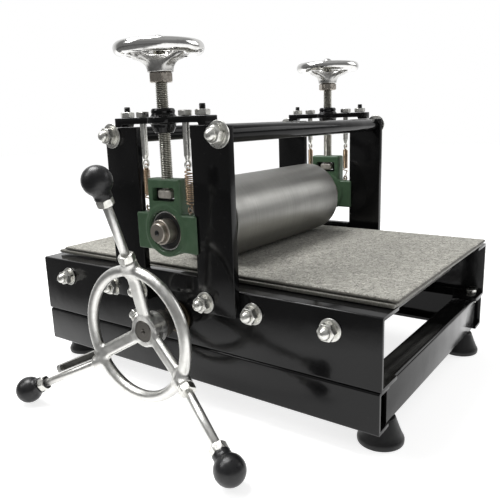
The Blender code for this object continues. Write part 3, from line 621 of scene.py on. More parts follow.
def disc_field(points, middle, axis, radius, half, edge):
    axis = np.array(Vector(axis).normalized())
    offset = points - np.array(middle)
    along = offset @ axis
    across = np.linalg.norm(offset - np.outer(along, axis), axis=1)
    return capped(along, across - radius, half, edge)


def ring_field(points, middle, axis, radius, half_width, half_height):
    axis = np.array(Vector(axis).normalized())
    offset = points - np.array(middle)
    along = offset @ axis
    across = np.linalg.norm(offset - np.outer(along, axis), axis=1)
    size = min(half_width, half_height)
    return (np.hypot((across - radius) / half_width, along / half_height) - 1) * size


def bar_field(points, matrix, half, edge):
    """Rounded bar of half sizes along the matrix's own axes."""
    back = np.array(matrix.inverted())
    local = points @ back[:3, :3].T + back[:3, 3]
    q = np.abs(local) - (np.array(half) - edge)
    return np.linalg.norm(np.maximum(q, 0), axis=1) + np.minimum(q.max(1), 0) - edge


def sculpt(seeds, field, voxel, passes=7):
    """Melts closed seed meshes together and settles the result on a field's zero surface."""
    obj = bpy.data.objects.new("sculpt", gather([(m, t, BLACK) for m, t in seeds]))
    bpy.context.scene.collection.objects.link(obj)
    remesh = obj.modifiers.new("remesh", "REMESH")
    remesh.mode = "VOXEL"
    remesh.voxel_size = voxel
    relax = obj.modifiers.new("relax", "SMOOTH")
    relax.iterations = 4
    bpy.context.view_layer.update()
    graph = bpy.context.evaluated_depsgraph_get()
    mesh = bpy.data.meshes.new_from_object(obj.evaluated_get(graph))
    bpy.data.objects.remove(obj)
    points = np.empty(len(mesh.vertices) * 3)
    mesh.vertices.foreach_get("co", points)
    points = points.reshape(-1, 3)
    step = voxel * 0.05
    for _ in range(passes):
        value = field(points)
        slope = np.stack([(field(points + shift) - field(points - shift)) / (2 * step)
                          for shift in np.eye(3) * step], axis=1)
        size = np.maximum((slope ** 2).sum(1), 0.05)
        points -= (np.clip(value, -voxel, voxel) / size)[:, None] * slope
    mesh.vertices.foreach_set("co", points.ravel())
    mesh.update()
    return mesh


def cut(mesh, tools):
    """Clean machined cuts through a mesh."""
    obj = bpy.data.objects.new("cut", mesh)
    bpy.context.scene.collection.objects.link(obj)
    made = []
    for tool_mesh, matrix in tools:
        tool = bpy.data.objects.new("tool", tool_mesh)
        tool.matrix_world = matrix
        bpy.context.scene.collection.objects.link(tool)
        boolean = obj.modifiers.new("cut", "BOOLEAN")
        boolean.object = tool
        boolean.solver = "EXACT"
        made.append(tool)
    bpy.context.view_layer.update()
    graph = bpy.context.evaluated_depsgraph_get()
    result = bpy.data.meshes.new_from_object(obj.evaluated_get(graph))
    for item in made + [obj]:
        bpy.data.objects.remove(item)
    return result


def rod(radius, length, edge=0.0, steps=48):
    """A bar standing on z = 0 with chamfered ends."""
    return lathe([(0, 0), (radius - edge, 0), (radius, edge), (radius, length - edge),
                  (radius - edge, length), (0, length)], steps)


# ---------------------------------------------------------------- fasteners
ACORN_FLATS = 0.0175
ACORN_HEIGHT = 0.0080
DOME_RADIUS = 0.0068
DOME_RISE = 0.0078
FLAT_WASHER = 0.0018
SPRING_WASHER = 0.0021
rng = random.Random(11)


def split_washer(radius, thickness):
    """A spring washer: one turn of square wire whose cut ends stand a little apart."""
    rings = []
    steps = 46
    inner = radius - 0.0036
    for k in range(steps + 1):
        angle = math.radians(6 + 348 * k / steps)
        lift = 0.0003 * (k / steps - 0.5)
        across = Vector((math.cos(angle), math.sin(angle), 0))
        corners = [(inner, 0.0001), (radius, 0.0001), (radius, thickness), (inner, thickness)]
        rings.append([across * r + Vector((0, 0, z + lift)) for r, z in corners])
    bm = bmesh.new()
    rows = [[bm.verts.new(point) for point in row] for row in rings]
    for low, high in zip(rows, rows[1:]):
        for k in range(4):
            bm.faces.new([low[k], low[(k + 1) % 4], high[(k + 1) % 4], high[k]])
    bm.faces.new(rows[0])
    bm.faces.new(rows[-1])
    return mesh_of(bm)


def acorn_stack(washer_radius):
    """Washers and an acorn nut standing on z = 0."""
    turn = Matrix.Rotation(rng.uniform(0, math.pi), 4, "Z")
    washer = lathe(fillet([(0.0061, 0, 0), (washer_radius, 0, 0.0005),
                           (washer_radius, FLAT_WASHER, 0.0005), (0.0061, FLAT_WASHER, 0)]), 64,
                   closed=True)
    base = FLAT_WASHER + SPRING_WASHER
    shoulder = base + ACORN_HEIGHT
    straight = shoulder + 0.0012
    dome = [(0, shoulder - 0.001), (DOME_RADIUS, shoulder - 0.001), (DOME_RADIUS, straight)]
    dome += [(DOME_RADIUS * math.cos(a), straight + (DOME_RISE - 0.0012) * math.sin(a))
             for a in [math.radians(d) for d in range(9, 90, 9)]]
    dome.append((0, shoulder + DOME_RISE))
    return [(washer, Matrix()),
            (split_washer(washer_radius * 0.79, SPRING_WASHER),
             Matrix.Translation((0, 0, FLAT_WASHER)) @ turn),
            (hexagon(ACORN_FLATS, ACORN_HEIGHT), Matrix.Translation((0, 0, base)) @ turn),
            (lathe(dome, 48), Matrix())]


def acorn_pair(x, z, face_y, washer_radius):
    """The two nutted ends of a rod that runs across the press."""
    shapes = []
    for _, side in SIDES:
        matrix = placed(at(x, side * (face_y + GAP), z), (0, side, 0))
        shapes += [(mesh, matrix @ local, ZINC) for mesh, local in acorn_stack(washer_radius)]
    return shapes


# ---------------------------------------------------------------- frame
def channel(node, sheet=0.004, bend=0.0026):
    """A rail of bent sheet with open side towards the middle of the press."""
    low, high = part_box(node)
    side = 1 if node.startswith("far") else -1
    face = MIDDLE_Y + side * RAIL_FACE_Y
    flange = abs((low.y if side > 0 else high.y) - face)
    height = min(high.z, RAIL_TOP) - low.z
    inner = 0.0012
    outline = fillet([(0, 0, bend), (flange, 0, 0), (flange, sheet, 0), (sheet, sheet, inner),
                      (sheet, height - sheet, inner), (flange, height - sheet, 0),
                      (flange, height, 0), (0, height, bend)], 6, closed=True)
    mesh = plate([[(-side * y, z) for y, z in outline]], high.x - low.x, 0.0003)
    turn = Matrix.Translation((0, face, low.z)) @ Matrix(
        ((0, 0, 1, 0), (1, 0, 0, 0), (0, 1, 0, 0), (0, 0, 0, 1)))
    return mesh, turn


SILL_HALF_LENGTH = 0.0421
SILL_BOTTOM = 0.146


def make_rails():
    for side_name, side in SIDES:
        for kind in ("lower_rail", "side_rail"):
            node = f"{side_name}_{kind}"
            mesh, matrix = channel(node)
            shapes = [(mesh, matrix, BLACK)]
            if kind == "side_rail":
                low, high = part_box(node)
                outer = max(abs(low.y - MIDDLE_Y), abs(high.y - MIDDLE_Y))
                sill = (2 * SILL_HALF_LENGTH, outer - RAIL_FACE_Y + 0.002, high.z - SILL_BOTTOM)
                middle = at(0, side * (outer + RAIL_FACE_Y - 0.002) / 2, (high.z + SILL_BOTTOM) / 2)
                shapes.append((rounded_box(sill, 0.0007), Matrix.Translation(middle), BLACK))
            add(node, shapes, "frame", node=node)


def whole_box(node, radius, look):
    """A CAD node's own box with softened edges."""
    return rounded_box(extent(node), radius), Matrix.Translation(centre(node)), look


def make_cross_members():
    for name, _ in ENDS:
        node = f"{name}_cross_member"
        low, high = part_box(node)
        half = (high.x - low.x) / 2
        height = high.z - low.z
        wall = 0.003
        outside = fillet([(-half, 0, 0.004), (half, 0, 0.004), (half, height, 0.004),
                          (-half, height, 0.004)], 5, closed=True)
        inside = fillet([(wall - half, wall, 0.001), (half - wall, wall, 0.001),
                         (half - wall, height - wall, 0.001), (wall - half, height - wall, 0.001)],
                        3, closed=True)
        matrix = plane_matrix((centre(node).x, centre(node).y, low.z))
        add(node, [(plate([outside, inside], high.y - low.y, 0.0003), matrix, BLACK)], "frame",
            node=node)


def make_feet():
    """Rubber bells with a rolled foot, and the screw inside the sole's recess."""
    for side_name, _ in SIDES:
        for end_name, _ in ENDS:
            node = f"{side_name}_{end_name}_foot"
            low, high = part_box(node)
            middle = (low + high) / 2
            height = high.z
            radius = (high.x - low.x) / 2
            outside = fillet([(0, height, 0), (0.0155, height, 0.002), (0.0190, height * 0.66, 0.03),
                              (0.0228, height * 0.33, 0.04), (radius, 0.0050, 0.006),
                              (radius - 0.0006, 0, 0.0014), (0.0095, 0, 0.0008), (0.0085, 0.012, 0),
                              (0, 0.012, 0)], 6)
            screw = lathe(fillet([(0, 0.0085, 0), (0.0055, 0.0085, 0.001), (0.0055, 0.0122, 0),
                                  (0, 0.0122, 0)]), 32)
            base = Matrix.Translation((middle.x, middle.y, 0))
            add(node, [(lathe(outside, 72), base, RUBBER), (screw, base, ZINC)], "frame",
                (middle.x, middle.y, 0), node, 50)


def make_posts():
    for side_name, side in SIDES:
        for end_name, end in ENDS:
            node = f"{side_name}_{end_name}_post"
            add(node, [whole_box(node, 0.0008, BLACK)], "frame", node=node)
            bolt_x = end * 0.053
            stack = [(mesh, placed(at(bolt_x, side * (POST_FACE_Y + GAP), 0.1398), (0, side, 0)) @ m,
                      ZINC) for mesh, m in acorn_stack(0.0125)]
            add(f"{side_name}_{end_name}_post_bolt", stack, "frame")


def make_bridge_plates():
    """A bar on two end pads, with the threaded collar welded through its middle."""
    top = 0.3487
    bottom = 0.3415
    for side_name, side in SIDES:
        node = f"{side_name}_bridge_plate"
        low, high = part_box(node)
        pad = 0.3383
        half = (high.x - low.x) / 2
        outline = fillet([(-half, pad, 0.0008), (-0.059, pad, 0.0012), (-0.059, bottom, 0.0018),
                          (0.059, bottom, 0.0018), (0.059, pad, 0.0012), (half, pad, 0.0008),
                          (half, top, 0.001), (-half, top, 0.001)], 3, closed=True)
        y = side * END_Y
        bar = plate([outline], 0.0200, 0.0007)
        bar.transform(plane_matrix(at(0, y, 0)))
        bar = cut(bar, [(rod(0.0074, 0.03, 0, 48), Matrix.Translation(at(0, y, 0.330)))])
        profile = fillet([(0.0073, 0.0268, 0), (0.0124, 0.0270, 0.0018), (0.0138, 0.0240, 0.002),
                          (0.0128, 0.0208, 0.003), (0.0150, 0.0180, 0.002), (0.0188, 0.0172, 0.001),
                          (0.0188, 0.0108, 0.0012), (0.0142, 0.0100, 0.002), (0.0136, 0.0062, 0.002),
                          (0.0106, 0.0002, 0.001), (0.0073, 0.0000, 0)], 4)
        collar = lathe(profile, 72, closed=True)
        for vertex in collar.vertices:
            reach = math.hypot(vertex.co.x, vertex.co.y)
            if reach > 0.0130 and 0.006 < vertex.co.z < 0.0215:
                push = 0.0007 * noise.noise(vertex.co * 330)
                vertex.co += Vector((vertex.co.x, vertex.co.y, 0)) / reach * push
        add(node, [(bar, Matrix(), BLACK),
                   (collar, Matrix.Translation(at(0, y, 0.331)), BLACK)], "frame", node=node)
        for end_name, end in ENDS:
            spot = at(end * 0.058, y, top + GAP)
            turn = Matrix.Rotation(rng.uniform(0, 1), 4, "Z")
            nut = (hexagon(0.0145, 0.0063, bore=0.0036), Matrix.Translation(spot) @ turn, ZINC)
            stud = (threaded(0.0037, 0.0122, 0.00125, 24, 6), Matrix.Translation(spot), OXIDE)
            add(f"{side_name}_{end_name}_set_screw", [nut, stud], "frame")


def make_tie_bars():
    for name, _ in ENDS:
        x = centre(f"{name}_tie_tube").x
        node = f"{name}_tie_tube"
        size = extent(node)
        radius = size.x / 2
        tube_mesh = lathe(fillet([(radius - 0.002, -size.y / 2, 0), (radius, -size.y / 2, 0.0004),
                                  (radius, size.y / 2, 0.0004), (radius - 0.002, size.y / 2, 0)]),
                          64, closed=True)
        add(node, [(tube_mesh, placed(at(x, 0, TIE_Z), (0, 1, 0)), TUBE_BLACK)], "frame", node=node)
        node = f"{name}_tie_rod"
        bar = (rod(0.006, 2 * POST_FACE_Y), placed(at(x, -POST_FACE_Y, TIE_Z), (0, 1, 0)), ZINC)
        add(node, [bar] + acorn_pair(x, TIE_Z, POST_FACE_Y, 0.0148), "frame", node=node)


RAIL_BOLT_X = 0.249
RAIL_BOLT_INSET = 0.013
M8_FLATS = 0.013
M8_PITCH = 0.00125


def make_rail_bolts():
    """Upright bolts that hold each lower rail to its side rail."""
    for side_name, side in SIDES:
        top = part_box(f"{side_name}_lower_rail")[1].z
        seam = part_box(f"{side_name}_side_rail")[0].z
        y = side * (RAIL_FACE_Y - RAIL_BOLT_INSET)
        for end_name, end in ENDS:
            x = end * RAIL_BOLT_X
            head = (hexagon(M8_FLATS, 0.0053), placed(at(x, y, seam + 0.0041)), ZINC)
            nut = (hexagon(M8_FLATS, 0.0065), placed(at(x, y, top - 0.0106)), ZINC)
            end_thread = (threaded(0.0039, 0.008, M8_PITCH, 24, 6),
                          placed(at(x, y, top - 0.016)), ZINC)
            add(f"{side_name}_{end_name}_rail_bolt", [head, nut, end_thread], "frame")


# ---------------------------------------------------------------- rollers and bed
def make_support_rollers():
    for number in range(1, 5):
        node = f"support_axle_{number}"
        x = centre(node).x
        bar = (rod(0.006, 2 * RAIL_FACE_Y), placed(at(x, -RAIL_FACE_Y, SUPPORT_Z), (0, 1, 0)), ZINC)
        add(node, [bar] + acorn_pair(x, SUPPORT_Z, RAIL_FACE_Y, 0.0125), "frame",
            node=node)
        node = f"support_roller_{number}"
        half = extent(node).y / 2
        radius = extent(node).x / 2
        profile = fillet([(0.0064, half, 0), (radius - 0.0002, half, 0.0010),
                          (radius - 0.0002, -half, 0.0010), (0.0064, -half, 0)], 3)
        add(node, [(lathe(profile, 72, closed=True), placed(centre(node), (0, 1, 0)), ROLLER)], node,
            centre(node), node)


def make_bushes():
    outer = RAIL_FACE_Y + GAP
    profile = fillet([(0.0128, outer + 0.004, 0), (0.0200, outer + 0.004, 0.0008),
                      (0.0200, outer, 0.0003), (0.0155, outer, 0), (0.0155, 0.173, 0.0008),
                      (0.0128, 0.173, 0)], 3)
    for side_name, side in SIDES:
        node = f"{side_name}_shaft_bush"
        add(node, [(lathe(profile, 72, closed=True), placed(at(0, 0, SHAFT_Z), (0, side, 0)), BRONZE)],
            "frame", at(0, 0, SHAFT_Z), node)


def make_board():
    node = "bed_board"
    add(node, [whole_box(node, 0.0009, BOARD)], "bed", node=node)


def make_felt():
    """A thick pressed-felt blanket with soft, slightly uneven cut edges."""
    low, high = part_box("felt_blanket")
    size = high - low
    spacing = 0.0026
    columns = round(size.x / spacing)
    rows = round(size.y / spacing)

    def level(u, v, top):
        bump_height = 0.00022 * noise.noise(Vector((u, v, 3 if top else 7)) * 160)
        return (high.z - 0.0003 + bump_height) if top else (low.z + 0.0001)

    bm = bmesh.new()
    grids = []
    for top in (False, True):
        grid = []
        for i in range(columns + 1):
            line = []
            for j in range(rows + 1):
                x = low.x + size.x * i / columns
                y = low.y + size.y * j / rows
                border = min(i, columns - i) == 0 or min(j, rows - j) == 0
                inset = 0.0008 if border else 0.0
                ragged = 0.0006 * (noise.noise(Vector((x, y, 1)) * 260) - 0.4) if border else 0.0
                if i in (0, columns):
                    x += (inset - ragged) * (1 if i == 0 else -1)
                if j in (0, rows):
                    y += (inset - ragged) * (1 if j == 0 else -1)
                z = level(x, y, top)
                if border:
                    z += -0.0009 if top else 0.0006
                line.append(bm.verts.new((x, y, z)))
            grid.append(line)
        grids.append(grid)
    for grid in grids:
        for i in range(columns):
            for j in range(rows):
                bm.faces.new((grid[i][j], grid[i + 1][j], grid[i + 1][j + 1], grid[i][j + 1]))
    around = [(i, 0) for i in range(columns)] + [(columns, j) for j in range(rows)]
    around += [(i, rows) for i in range(columns, 0, -1)] + [(0, j) for j in range(rows, 0, -1)]
    middle = []
    for i, j in around:
        lower = grids[0][i][j].co
        upper = grids[1][i][j].co
        outwards = Vector(((i == columns) - (i == 0), (j == rows) - (j == 0), 0))
        swell = 0.0007 + 0.0004 * noise.noise(Vector((lower.x, lower.y, 5)) * 300)
        middle.append(bm.verts.new((lower + upper) / 2 + outwards * swell))
    for k in range(len(around)):
        i, j = around[k]
        m, n = around[(k + 1) % len(around)]
        after = (k + 1) % len(around)
        bm.faces.new((grids[0][i][j], grids[0][m][n], middle[after], middle[k]))
        bm.faces.new((middle[k], middle[after], grids[1][m][n], grids[1][i][j]))
    blanket = add("felt_blanket", [(mesh_of(bm), Matrix(), FELT)], "bed", node="felt_blanket",
                  sharp=80)


def make_top_roller():
    size = extent("top_roller")
    radius = size.x / 2
    end = size.y / 2
    half = 0.130
    face = [(0.0112, half + 0.0012), (0.0126, half), (radius - 0.0011, half),
            (radius - 0.0002, half - 0.0011)]
    barrel = face + [(r, -z) for r, z in reversed(face)]
    journal = [(0.0, end - 0.0040), (0.0031, end), (0.0102, end),
               (0.0112, end - 0.0010), (0.0112, half + 0.0012)]
    axis = placed(centre("top_roller"), (0, 1, 0))
    shapes = [(lathe(barrel, 128), axis, ROLLER)]
    # A near-black cone laid over each journal's centre hole: painted shade in the recess.
    drilled = [(0, end - 0.0034), (0.0031, end + 0.0001), (0.0034, end + 0.0001),
               (0.0034, end - 0.0008), (0, end - 0.0043)]
    for _, side in SIDES:
        across = placed(centre("top_roller"), (0, side, 0))
        shapes.append((lathe(journal, 64), across, BEARING))
        shapes.append((lathe(drilled, 32), across, OXIDE))
    add("top_roller", shapes, "top_roller", centre("top_roller"), "top_roller")


def make_drive_roller():
    """Roller and shaft, with the lathe centre drilled in the shaft's near end."""
    low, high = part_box("drive_roller")
    radius = extent("drive_roller").x / 2
    near = low.y - MIDDLE_Y
    far = high.y - MIDDLE_Y
    half = 0.146
    profile = [(0, far), (0.0115, far), (0.0125, far - 0.001), (0.0125, half),
               (radius - 0.001, half), (radius, half - 0.001), (radius, -half + 0.001),
               (radius - 0.001, -half), (0.0125, -half), (0.0125, near + 0.0008),
               (0.0118, near), (0.0034, near), (0.0016, near + 0.003), (0, near + 0.0036)]
    add("drive_roller", [(lathe(profile, 96), placed(at(0, 0, SHAFT_Z), (0, 1, 0)), SHAFT)],
        "drive_shaft", at(0, 0, SHAFT_Z), "drive_roller")


def make_collar():
    low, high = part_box("shaft_collar")
    length = high.y - low.y
    radius = extent("shaft_collar").x / 2
    profile = fillet([(0.0129, 0, 0), (radius, 0, 0.0009), (radius, length, 0.0009),
                      (0.0129, length, 0)], 3)
    start = Vector((0, low.y, SHAFT_Z))
    collar = (lathe(profile, 72, closed=True), placed(start, (0, 1, 0)), SHAFT)
    socket = lathe([(0, -0.0004), (0.0017, -0.0004), (0.0030, 0.0003), (0.0030, -0.002), (0, -0.002)], 24)
    spot = start + Vector((-0.5, 0, 0.866)) * (radius + 0.0001) + Vector((0, length / 2, 0))
    add("shaft_collar", [collar, (socket, placed(spot, (-0.5, 0, 0.866)), OXIDE)], "drive_shaft",
        at(0, 0, SHAFT_Z), "shaft_collar")


# ---------------------------------------------------------------- bearing housings
def housing_field(y):
    """Cast take-up housing: wings, nose and round boss, all with soft edges."""
    plane = at(0, y, ROLLER_Z)

    def field(points):
        wings = bar_field(points, Matrix.Translation(plane + Vector((0, 0, -0.0020))),
                          (0.0466, 0.0080, 0.0220), 0.0022)
        nose = bar_field(points, Matrix.Translation(plane + Vector((0, 0, 0.0305))),
                         (0.0253, 0.0086, 0.0305), 0.0032)
        boss = disc_field(points, plane, (0, 1, 0), 0.0309, 0.0089, 0.0016)
        return smooth_min(smooth_min(nose, boss, 0.0030), wings, 0.0030)
    return field


def make_housing(name, side):
    node = f"{name}_bearing_housing"
    y = side * END_Y
    plane = at(0, y, ROLLER_Z)
    seeds = [(rounded_box((0.0932, 0.0160, 0.0440), 0.001),
              Matrix.Translation(plane + Vector((0, 0, -0.0020)))),
             (rounded_box((0.0506, 0.0172, 0.0610), 0.001),
              Matrix.Translation(plane + Vector((0, 0, 0.0305)))),
             (rod(0.0309, 0.0178, 0.001, 64),
              placed(at(0, y - 0.0089, ROLLER_Z), (0, 1, 0)))]
    body = sculpt(seeds, housing_field(y), 0.0009)
    bearing_seat = (rod(0.0238, 0.05, 0, 96), placed(at(0, y - 0.025, ROLLER_Z), (0, 1, 0)))
    relief = (rod(0.0255, 0.01, 0.0008, 96),
              placed(at(0, y + side * 0.0082, ROLLER_Z), (0, side, 0)))
    window = (rounded_box((0.0340, 0.05, 0.0160), 0.0022), Matrix.Translation(at(0, y, ROLLER_Z + 0.0425)))
    screw_hole = (rod(0.0074, 0.02, 0, 48), placed(at(0, y, ROLLER_Z + 0.046)))
    tools = [bearing_seat, relief, window, screw_hole]
    for _, end in ENDS:
        groove = rounded_box((0.0200, 0.0116, 0.0800), 0.0005)
        tools.append((groove, Matrix.Translation(at(end * (0.0416 + 0.010), y, ROLLER_Z))))
    shapes = [(cut(body, tools), Matrix(), GREEN)]
    # A near-black sheet across the window, open only round the nut: painted shade inside the housing.
    shade_sheet = [(-0.0169, 0.0346), (0.0169, 0.0346), (0.0169, 0.0504), (-0.0169, 0.0504)]
    nut_hole = [(-0.0101, 0.0372), (0.0101, 0.0372), (0.0101, 0.0480), (0.0078, 0.0480), (0.0078, 0.0502),
                (-0.0078, 0.0502), (-0.0078, 0.0480), (-0.0101, 0.0480)]
    upright = plane_matrix(plane)
    shapes.append((plate([shade_sheet, nut_hole], 0.0016), upright, OXIDE))
    add(node, shapes, "roller_carriage", node=node, sharp=40)
    for end_name, end in ENDS:
        eye_z = 0.2425
        eye = [(end * 0.033 + 0.0030 * math.cos(a), y, eye_z + 0.0030 * math.sin(a))
               for a in circle(20)]
        loop = tube([tuple(at(*point)) for point in eye], 0.0010, 4, cyclic=True)
        stem = rod(0.0012, 0.0030, 0, 16)
        add(f"{name}_{end_name}_spring_eye",
            [(loop, Matrix(), DULL), (stem, placed(at(end * 0.033, y, 0.2370)), DULL)],
            "roller_carriage")


def make_bearing(name, side):
    """Insert bearing: ground outer ring, black seal, and the inner ring's long collar."""
    node = f"{name}_bearing"
    plane = at(0, side * END_Y, ROLLER_Z)
    matrix = placed(plane, (0, side, 0))
    outer = lathe(fillet([(0.0216, 0.0062, 0.0003), (0.0235, 0.0062, 0.0005),
                          (0.0235, -0.0075, 0.0005), (0.0216, -0.0075, 0.0003)], 2, closed=True), 96,
                  closed=True)
    seal = lathe(fillet([(0.0144, 0.0040, 0), (0.0190, 0.0036, 0.0006), (0.0218, 0.0048, 0),
                         (0.0218, -0.0060, 0), (0.0144, -0.0050, 0)], 3), 96, closed=True)
    inner = lathe(fillet([(0.0114, 0.0175, 0.0002), (0.0146, 0.0175, 0.0010), (0.0146, -0.0125, 0.0006),
                          (0.0114, -0.0125, 0.0002)], 3, closed=True), 96,
                  closed=True)
    shapes = [(outer, matrix, CHROME), (seal, matrix, SEAL), (inner, matrix, BEARING)]
    add(node, shapes, "roller_carriage", plane, node, 40)


# ---------------------------------------------------------------- pressure screws
PITCH = 0.002


def make_screw(name):
    node = f"{name}_pressure_screw"
    low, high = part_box(node)
    axis = Vector((0, (low.y + high.y) / 2, 0))
    body = f"{name}_screw"
    start = 0.2575
    stem = (threaded(0.0070, 0.4290 - start, PITCH), placed(axis + Vector((0, 0, start))), THREAD)
    block = (rounded_box((0.0200, 0.0150, 0.0100), 0.0024, 4),
             placed(axis + Vector((0, 0, low.z + 0.0052))), BLOCK)
    cap_z = 0.4243
    cap = [(0, 0), (0.0080, 0), (0.0082, 0.0030)]
    cap += [(0.0082 * math.cos(a), 0.0030 + 0.0086 * math.sin(a))
            for a in [math.radians(d) for d in range(10, 90, 10)]]
    cap.append((0, 0.0117))
    add(node, [stem, block, (lathe(cap, 40), placed(axis + Vector((0, 0, cap_z))), CHROME)], body,
        axis + Vector((0, 0, start)), node)
    node = f"{name}_jam_nut"
    low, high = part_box(node)
    nut = hexagon(0.0245, high.z - low.z, bore=0.0070)
    add(node, [(nut, placed(axis + Vector((0, 0, low.z))) @ Matrix.Rotation(0.3, 4, "Z"), DULL)], body,
        axis, node)


def make_handwheel(name):
    """Dished wheel with a fat rim and three web spokes that flare out of the hub."""
    node = f"{name}_handwheel"
    axis = centre(node)
    rim = Vector((axis.x, axis.y, 0.4217))
    hub_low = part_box(node)[0].z
    rim_radius = 0.0437
    half_width = 0.0062
    half_height = 0.0070
    hub_high = 0.4140
    hub_radius = 0.0145
    hub = Vector((axis.x, axis.y, (hub_low + hub_high) / 2))
    hub_half = (hub_high - hub_low) / 2
    spokes = []
    for number in range(3):
        around = Matrix.Rotation(math.radians(6 + 120 * number), 4, "Z")
        inner = Vector((0.009, 0, hub_low + 0.0100))
        bend = Vector((0.0260, 0, 0.4145))
        outer = Vector((rim_radius, 0, 0.4187))
        for start, end, width, depth in ((inner, bend, 0.0085, 0.0036),
                                         (bend, outer, 0.0068, 0.0030)):
            along = (end - start).normalized()
            across = Vector((0, 1, 0))
            turn = Matrix((along, across, along.cross(across))).transposed().to_4x4()
            centre_matrix = Matrix.Translation(Vector((axis.x, axis.y, 0))) @ around
            spokes.append((centre_matrix @ Matrix.Translation((start + end) / 2) @ turn,
                           ((end - start).length / 2 + 0.002, width, depth)))

    def field(points):
        total = smooth_min(ring_field(points, rim, (0, 0, 1), rim_radius, half_width, half_height),
                           disc_field(points, hub, (0, 0, 1), hub_radius, hub_half, 0.0012), 0.002)
        for matrix, half in spokes:
            total = smooth_min(total, bar_field(points, matrix, half, 0.0027), 0.0065)
        return total

    rim_seed = lathe([(rim_radius + half_width * math.cos(a), half_height * math.sin(a))
                      for a in circle(24)], 96, closed=True)
    seeds = [(rim_seed, Matrix.Translation(rim)),
             (rod(hub_radius, 2 * hub_half, 0, 48), placed(Vector((axis.x, axis.y, hub_low))))]
    seeds += [(rounded_box([2 * size for size in half], 0.001), matrix) for matrix, half in spokes]
    wheel = sculpt(seeds, field, 0.0009)
    bore = (rod(0.0073, 0.05, 0, 48), placed(Vector((axis.x, axis.y, hub_low - 0.01))))
    boss = lathe(fillet([(0.0073, 0.0060, 0), (0.0115, 0.0060, 0.0012), (0.0118, 0, 0), (0.0073, 0, 0)],
                        3), 64, closed=True)
    add(node, [(cut(wheel, [bore]), Matrix(), WHEEL_CHROME),
               (boss, placed(Vector((axis.x, axis.y, 0.4180))), WHEEL_CHROME)], f"{name}_screw",
        Vector((axis.x, axis.y, rim.z)), node, 45)


# ---------------------------------------------------------------- springs
EYE_Z = 0.296
HOOK_RADIUS = 0.0030
WIRE_RADIUS = 0.0008


def make_hanger_bolt(node, x, y):
    """Bolt whose lower end is forged flat and bent round into an eye."""
    head_z = 0.3490
    shank = lathe(fillet([(0, head_z + 0.001, 0), (0.0039, head_z + 0.001, 0), (0.0039, 0.3060, 0.002),
                          (0.0026, 0.3015, 0.001), (0.0022, 0.2998, 0), (0, 0.2998, 0)], 3), 32)
    loop = [(x, y + 0.0042 * math.cos(a), EYE_Z + 0.0044 * math.sin(a))
            for a in circle(24)]
    eye = tube([tuple(at(*point)) for point in loop], 0.0014, 4, cyclic=True)
    turn = Matrix.Rotation(rng.uniform(0, 1), 4, "Z")
    add(node, [(shank, Matrix.Translation(at(x, y, 0)), ZINC), (eye, Matrix(), ZINC),
               (hexagon(0.0142, 0.0062), placed(at(x, y, head_z)) @ turn, ZINC)], "frame",
        node=node)


def coil_points(radius, stretches, steps=14):
    """Helix through (turns, height) stretches, starting at z = 0 and going down."""
    points = []
    angle = math.pi / 2
    z = 0.0
    for turns, height in stretches:
        count = round(turns * steps)
        for _ in range(count):
            points.append((radius * math.cos(angle), radius * math.sin(angle), z))
            angle += 2 * math.pi / steps
            z -= height / count
    return points


def make_spring(node, x, y, radius, stretches):
    """Tension spring between the bolt's eye and the eye on the housing."""
    coil_top = 0.2893
    top_hook = [(0, b, EYE_Z - 0.0036 + c) for b, c in arc((0, 0), HOOK_RADIUS, 250, -50, 14)]
    coil = [(a, b, coil_top + c) for a, b, c in coil_points(radius, stretches)]
    bottom_hook = [(0, b, 0.2448 + c) for b, c in arc((0, 0), 0.0034, 70, -230, 16)]
    points = [tuple(at(x + a, y + b, c)) for a, b, c in top_hook + coil + bottom_hook]
    spring = add(node, [(tube(points, WIRE_RADIUS, 3), Matrix(), COPPER)], "frame", node=node,
                 sharp=60)
    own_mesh(spring)


# ---------------------------------------------------------------- star wheel
STAR_Y = -0.2592
STAR_RADIUS = 0.0738
STAR_TUBE = 0.0065
HUB_FRONT = -0.2490
HUB_BACK = -0.2285
BOSS_LENGTH = 0.0125
TROUGH_ARM = 2
TROUGH_ARM_OFFSET = 0.0085
CLAMP_ANGLE = 150
ARM_ANGLES = (90, 210, 330)


def outwards(angle):
    return Vector((math.cos(math.radians(angle)), 0, math.sin(math.radians(angle))))


def arm_matrix(number):
    """Matrix whose local Z runs out along an arm from the middle of the ring's tube."""
    radial = outwards(ARM_ANGLES[number - 1])
    start = at(0, STAR_Y, SHAFT_Z) + radial * STAR_RADIUS
    if number == TROUGH_ARM:
        start += Vector((-radial.z, 0, radial.x)) * TROUGH_ARM_OFFSET
    end = knob_centre(number)
    along = (end - start).normalized()
    side = along.cross(Vector((0, 1, 0))).normalized()
    turn = Matrix((side, along.cross(side), along)).transposed().to_4x4()
    return Matrix.Translation(start) @ turn, (end - start).length


KNOB_PLACES = ((0.1765, -0.2955), (0.1840, -0.3015), (0.1835, -0.2990))
KNOB_RADIUS = 0.0166


def knob_centre(number):
    distance, y = KNOB_PLACES[number - 1]
    return at(0, y, SHAFT_Z) + outwards(ARM_ANGLES[number - 1]) * distance


